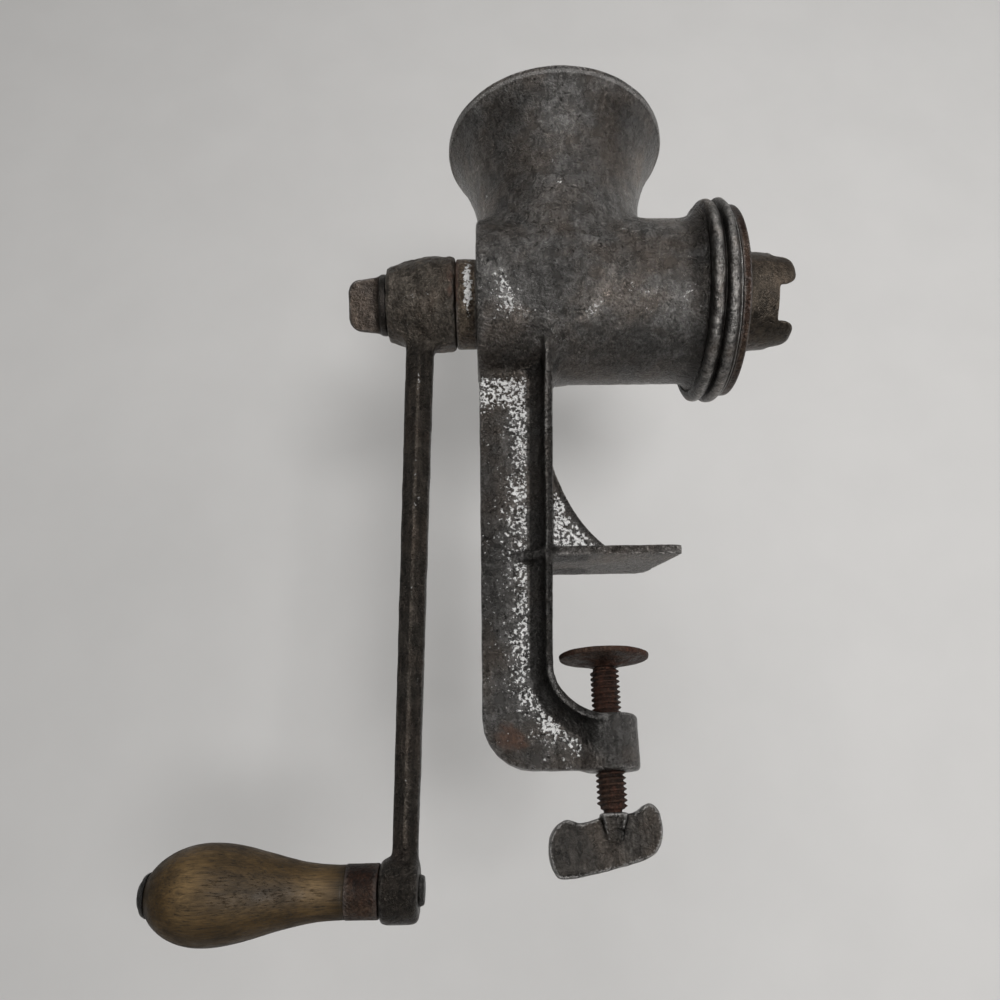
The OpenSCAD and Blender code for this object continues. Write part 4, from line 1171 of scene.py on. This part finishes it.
ferrule = turned("ferrule", [(-85.35, 6.85), (-85.35, 8.2, 0.4), (-75, 8.2, 0.4), (-75, 6.85)],
                 GRIP_Z, closed=True)
uneven(ferrule, 4, 0.25)
finish(ferrule, ferrule_rust, "grip", "rusty_steel", "grip_ferrule")

rivet = turned("rivet", [(-149.5, 0), (-149.5, 4.2, 1.0), (-148.3, 5.4, 0.2), (-148.3, 3.6), (-62.35, 3.6),
                         (-62.35, 4.8, 0.3), (-60.75, 4.2, 0.8), (-60.75, 0)], GRIP_Z, sides=64)
uneven(rivet, 3, 0.2)
finish(rivet, dark_steel, "drive", "dark_steel", "grip_spindle")

cap = turned("cap", [(-148.3, 3.65), (-148.3, 6.2, 0.4), (-146.9, 6.9, 0.3), (-146.9, 3.65)], GRIP_Z,
             closed=True, sides=80)
finish(cap, dark_steel, "drive", "dark_steel", "grip_end_washer")

# %% [markdown]
# ## The table clamp
# A rusty screw runs up through the casting's boss and carries a saucer that swivels on its end. The
# thread is the same winding rib as the worm's, at a tenth of its size and right-handed. Remeshing
# core and rib together makes one closed skin of them.

# %% Clamp screw
THREAD_TOP, THREAD_BOTTOM, THREAD_PITCH = -37.5, -83.2, 1.75
clamp_thread = turned("clamp_thread", [
    (-88, 0), (-88, 3), (THREAD_BOTTOM - 0.4, 3), (THREAD_BOTTOM, 3.95), (THREAD_TOP, 3.95, 0.5),
    (THREAD_TOP, 3.2), (-34.4, 3.2), (-34.4, 4.8, 0.3), (-33, 4.8, 0.4), (-33, 0)], sides=72)
grown(clamp_thread, winding_rib, {
    "Root radius": 3.8 * MM, "Height": 1.2 * MM, "Root width": 1.6 * MM, "Crest width": 0.3 * MM,
    "Pitch": THREAD_PITCH * MM, "Length": (THREAD_TOP - THREAD_BOTTOM - THREAD_PITCH) * MM,
    "Start": (THREAD_BOTTOM + THREAD_PITCH / 2) * MM, "Steps a turn": 48, "Right-handed": True,
    "Material": thread_rust})
remeshed(clamp_thread, 0.2)
uneven(clamp_thread, 2.5, 0.15)
finish(clamp_thread, thread_rust, "screw", "rusty_steel", "clamp_screw")

saucer = turned("saucer", [
    (-37.2, 3.25), (-37.2, 4.7, 0.3), (-35.9, 8.4, 1.2), (-34.5, 15.2, 0.5), (-32.8, 15.6, 0.6),
    (-32.7, 14.2, 0.6), (-33.1, 5.6, 0.3), (-34.7, 5.1), (-34.7, 3.25)], closed=True)
uneven(saucer, 7, 0.3)
paint_spots(saucer, "tin_and_highlight", [((3, -15.6, -33), (5, 3, 0.8), 0.45), ((12, -10, -34.5), (3, 4, 0.8), 0.5)])
finish(saucer, thread_rust, "pad", "rusty_steel", "clamp_pad")

# %% [markdown]
# ## The wing
# The wing under the clamp is a flat casting with two ears and a tapered boss, and it sits a little
# crooked. Its outline is a smooth closed curve through a few points, given in X and Z. It is pushed
# out to its thickness, thinned towards the middle, joined with the boss, and then treated as the
# other castings are.

# %% Wing
WING_T = 7.5
WAIST_SHARE, WAIST_MM = 0.55, 8
WING_OUTLINE = [
    (-15.5, -86.3), (-19.8, -89.6), (-21.4, -95.9), (-19.6, -102.4), (-15.8, -104.0), (-1.9, -101.6),
    (9.3, -98.6), (13.6, -95.6), (15.4, -89.9), (14.2, -83.7), (11.0, -81.8), (6.4, -84.6), (-4.2, -86.0),
    (-10.8, -87.5)]


def smooth_loop(points, steps=10):
    """A closed curve through all points."""
    curve = []
    count = len(points)
    for i in range(count):
        a, b, c, d = (Vector(points[(i + k) % count]) for k in (-1, 0, 1, 2))
        for k in range(steps):
            t = k / steps
            curve.append(0.5 * (2 * b + (c - a) * t + (2 * a - 5 * b + 4 * c - d) * t ** 2
                                + (3 * b - a - 3 * c + d) * t ** 3))
    return curve


ears = prism("wing ears", [(x, -WING_T / 2, z) for x, z in smooth_loop(WING_OUTLINE)], (0, WING_T, 0))
remeshed(ears, 0.45)
skin = Skin(ears.data)
skin.points[:, 1] *= 1 - WAIST_SHARE * np.exp(-(skin.points[:, 0] / MM / WAIST_MM) ** 2)
skin.keep()
boss = turned("wing boss", [(-100.5, 0), (-100.5, 0.7, 0.2), (-84.5, 6.1, 0.4), (-84.3, 0)], sides=4)
boss.data.transform(Matrix.Diagonal((1, 1.15, 1, 1)))
wing = remeshed(joined("wing", [ears, boss]), 0.45)
round_off(fill_hollows(wing, 5), 5)
uneven(uneven(wing, 6, 0.6), 2.5, 0.2)
paint_spots(wing, "tin_and_highlight", [((-14, -4, -92), (7, 5, 6), 0.2), ((9, -4, -88), (6, 5, 6), 0.25)])
finish(wing, wing_iron, "screw", "wing_iron", "clamp_wing")

# %% [markdown]
# ## Backdrop
# The grinder is shown against a light wall, out of the crank's reach. The wall is darker on the
# left than on the right, as painted light falling off. Only the wall's front shows, so that other
# views are free.

# %% Backdrop
WALL_Y = 0.25
WALL_HALF = 3.0
WALL_LEFT, WALL_RIGHT = tone(0.59, 0.02), tone(0.66, 0.02)

wall_mesh = bpy.data.meshes.new("backdrop")
wall_mesh.from_pydata([(-WALL_HALF, WALL_Y, -WALL_HALF), (WALL_HALF, WALL_Y, -WALL_HALF),
                       (WALL_HALF, WALL_Y, WALL_HALF), (-WALL_HALF, WALL_Y, WALL_HALF)], [], [(0, 1, 2, 3)])
wall = new_piece("backdrop", wall_mesh)
wall_paint, tree, skin = new_material("wall_paint")
place = object_place(tree)
sideways = add(tree, "ShaderNodeSeparateXYZ", {0: place}).outputs["X"]
# Painted light: the wall goes from darker on the left to lighter on the right.
painted_falloff = mixed(tree, soft_step(tree, sideways, -0.4, 0.3), WALL_LEFT, WALL_RIGHT)
unevenly = soft_step(tree, cloud(tree, place, 60), 0.2, 0.8, 0.98, 1.02)
fill(tree, skin["Base Color"], scaled(tree, painted_falloff, unevenly))
skin["Roughness"].default_value = 0.9
front_only = add(tree, "ShaderNodeMixShader", {
    0: add(tree, "ShaderNodeNewGeometry").outputs["Backfacing"], 1: tree.nodes["Principled BSDF"].outputs[0],
    2: add(tree, "ShaderNodeBsdfTransparent").outputs[0]})
fill(tree, tree.nodes["Material Output"].inputs["Surface"], front_only.outputs[0])
wall_mesh.materials.append(wall_paint)
wall.visible_shadow = False
wall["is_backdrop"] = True
print("backdrop at y =", WALL_Y)

# %% [markdown]
# ## Light
# Iron is mostly what it reflects. An even world makes it flat, so this one is bright on the viewer's
# side, where a room's ceiling would be, and dim at the sides. A small key lamp beside the camera
# gives the soft shadow on the wall, a wide one on the right draws the light edges, and a wide one
# above lifts the top of the wall. Each lamp has a place and a size in metres, and its watts.

# %% Light
WORLD_SIDE, WORLD_FRONT = 0.1, 0.34
AIM = Vector((-0.02, 0, 0.05))
LAMPS = {"key": (Vector((0.2, -1.05, -0.2)), 0.35, 7.5), "side": (Vector((1.0, -0.8, 0.35)), 0.7, 3.5),
         "top": (Vector((-0.1, -1.1, 0.8)), 0.8, 4.0)}

world = bpy.data.worlds.new("studio")
world.use_nodes = True
tree = world.node_tree
facing = add(tree, "ShaderNodeSeparateXYZ", {0: add(tree, "ShaderNodeTexCoord").outputs["Generated"]})
glow = soft_step(tree, facing.outputs["Y"], -0.2, -0.95, WORLD_SIDE, WORLD_FRONT)
background = tree.nodes["Background"]
background.inputs["Color"].default_value = (1, 1, 0.985, 1)
fill(tree, background.inputs["Strength"], glow)
scene.world = world

for name, (place, size, watt) in LAMPS.items():
    lamp = bpy.data.lights.new(name, "AREA")
    lamp.shape = "DISK"
    lamp.size = size
    lamp.energy = watt
    light = bpy.data.objects.new(name, lamp)
    light.location = place
    light.rotation_euler = (AIM - place).to_track_quat("-Z", "Y").to_euler()
    scene.collection.objects.link(light)
    print("lamp", name, "in watts:", watt)

# %% [markdown]
# ## Sizes
# The dressed grinder has to stay as large as its solids, so its box is printed in mm.

# %% Sizes
low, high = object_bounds()
print("visual box in mm:", [round(side / MM, 1) for side in high - low])
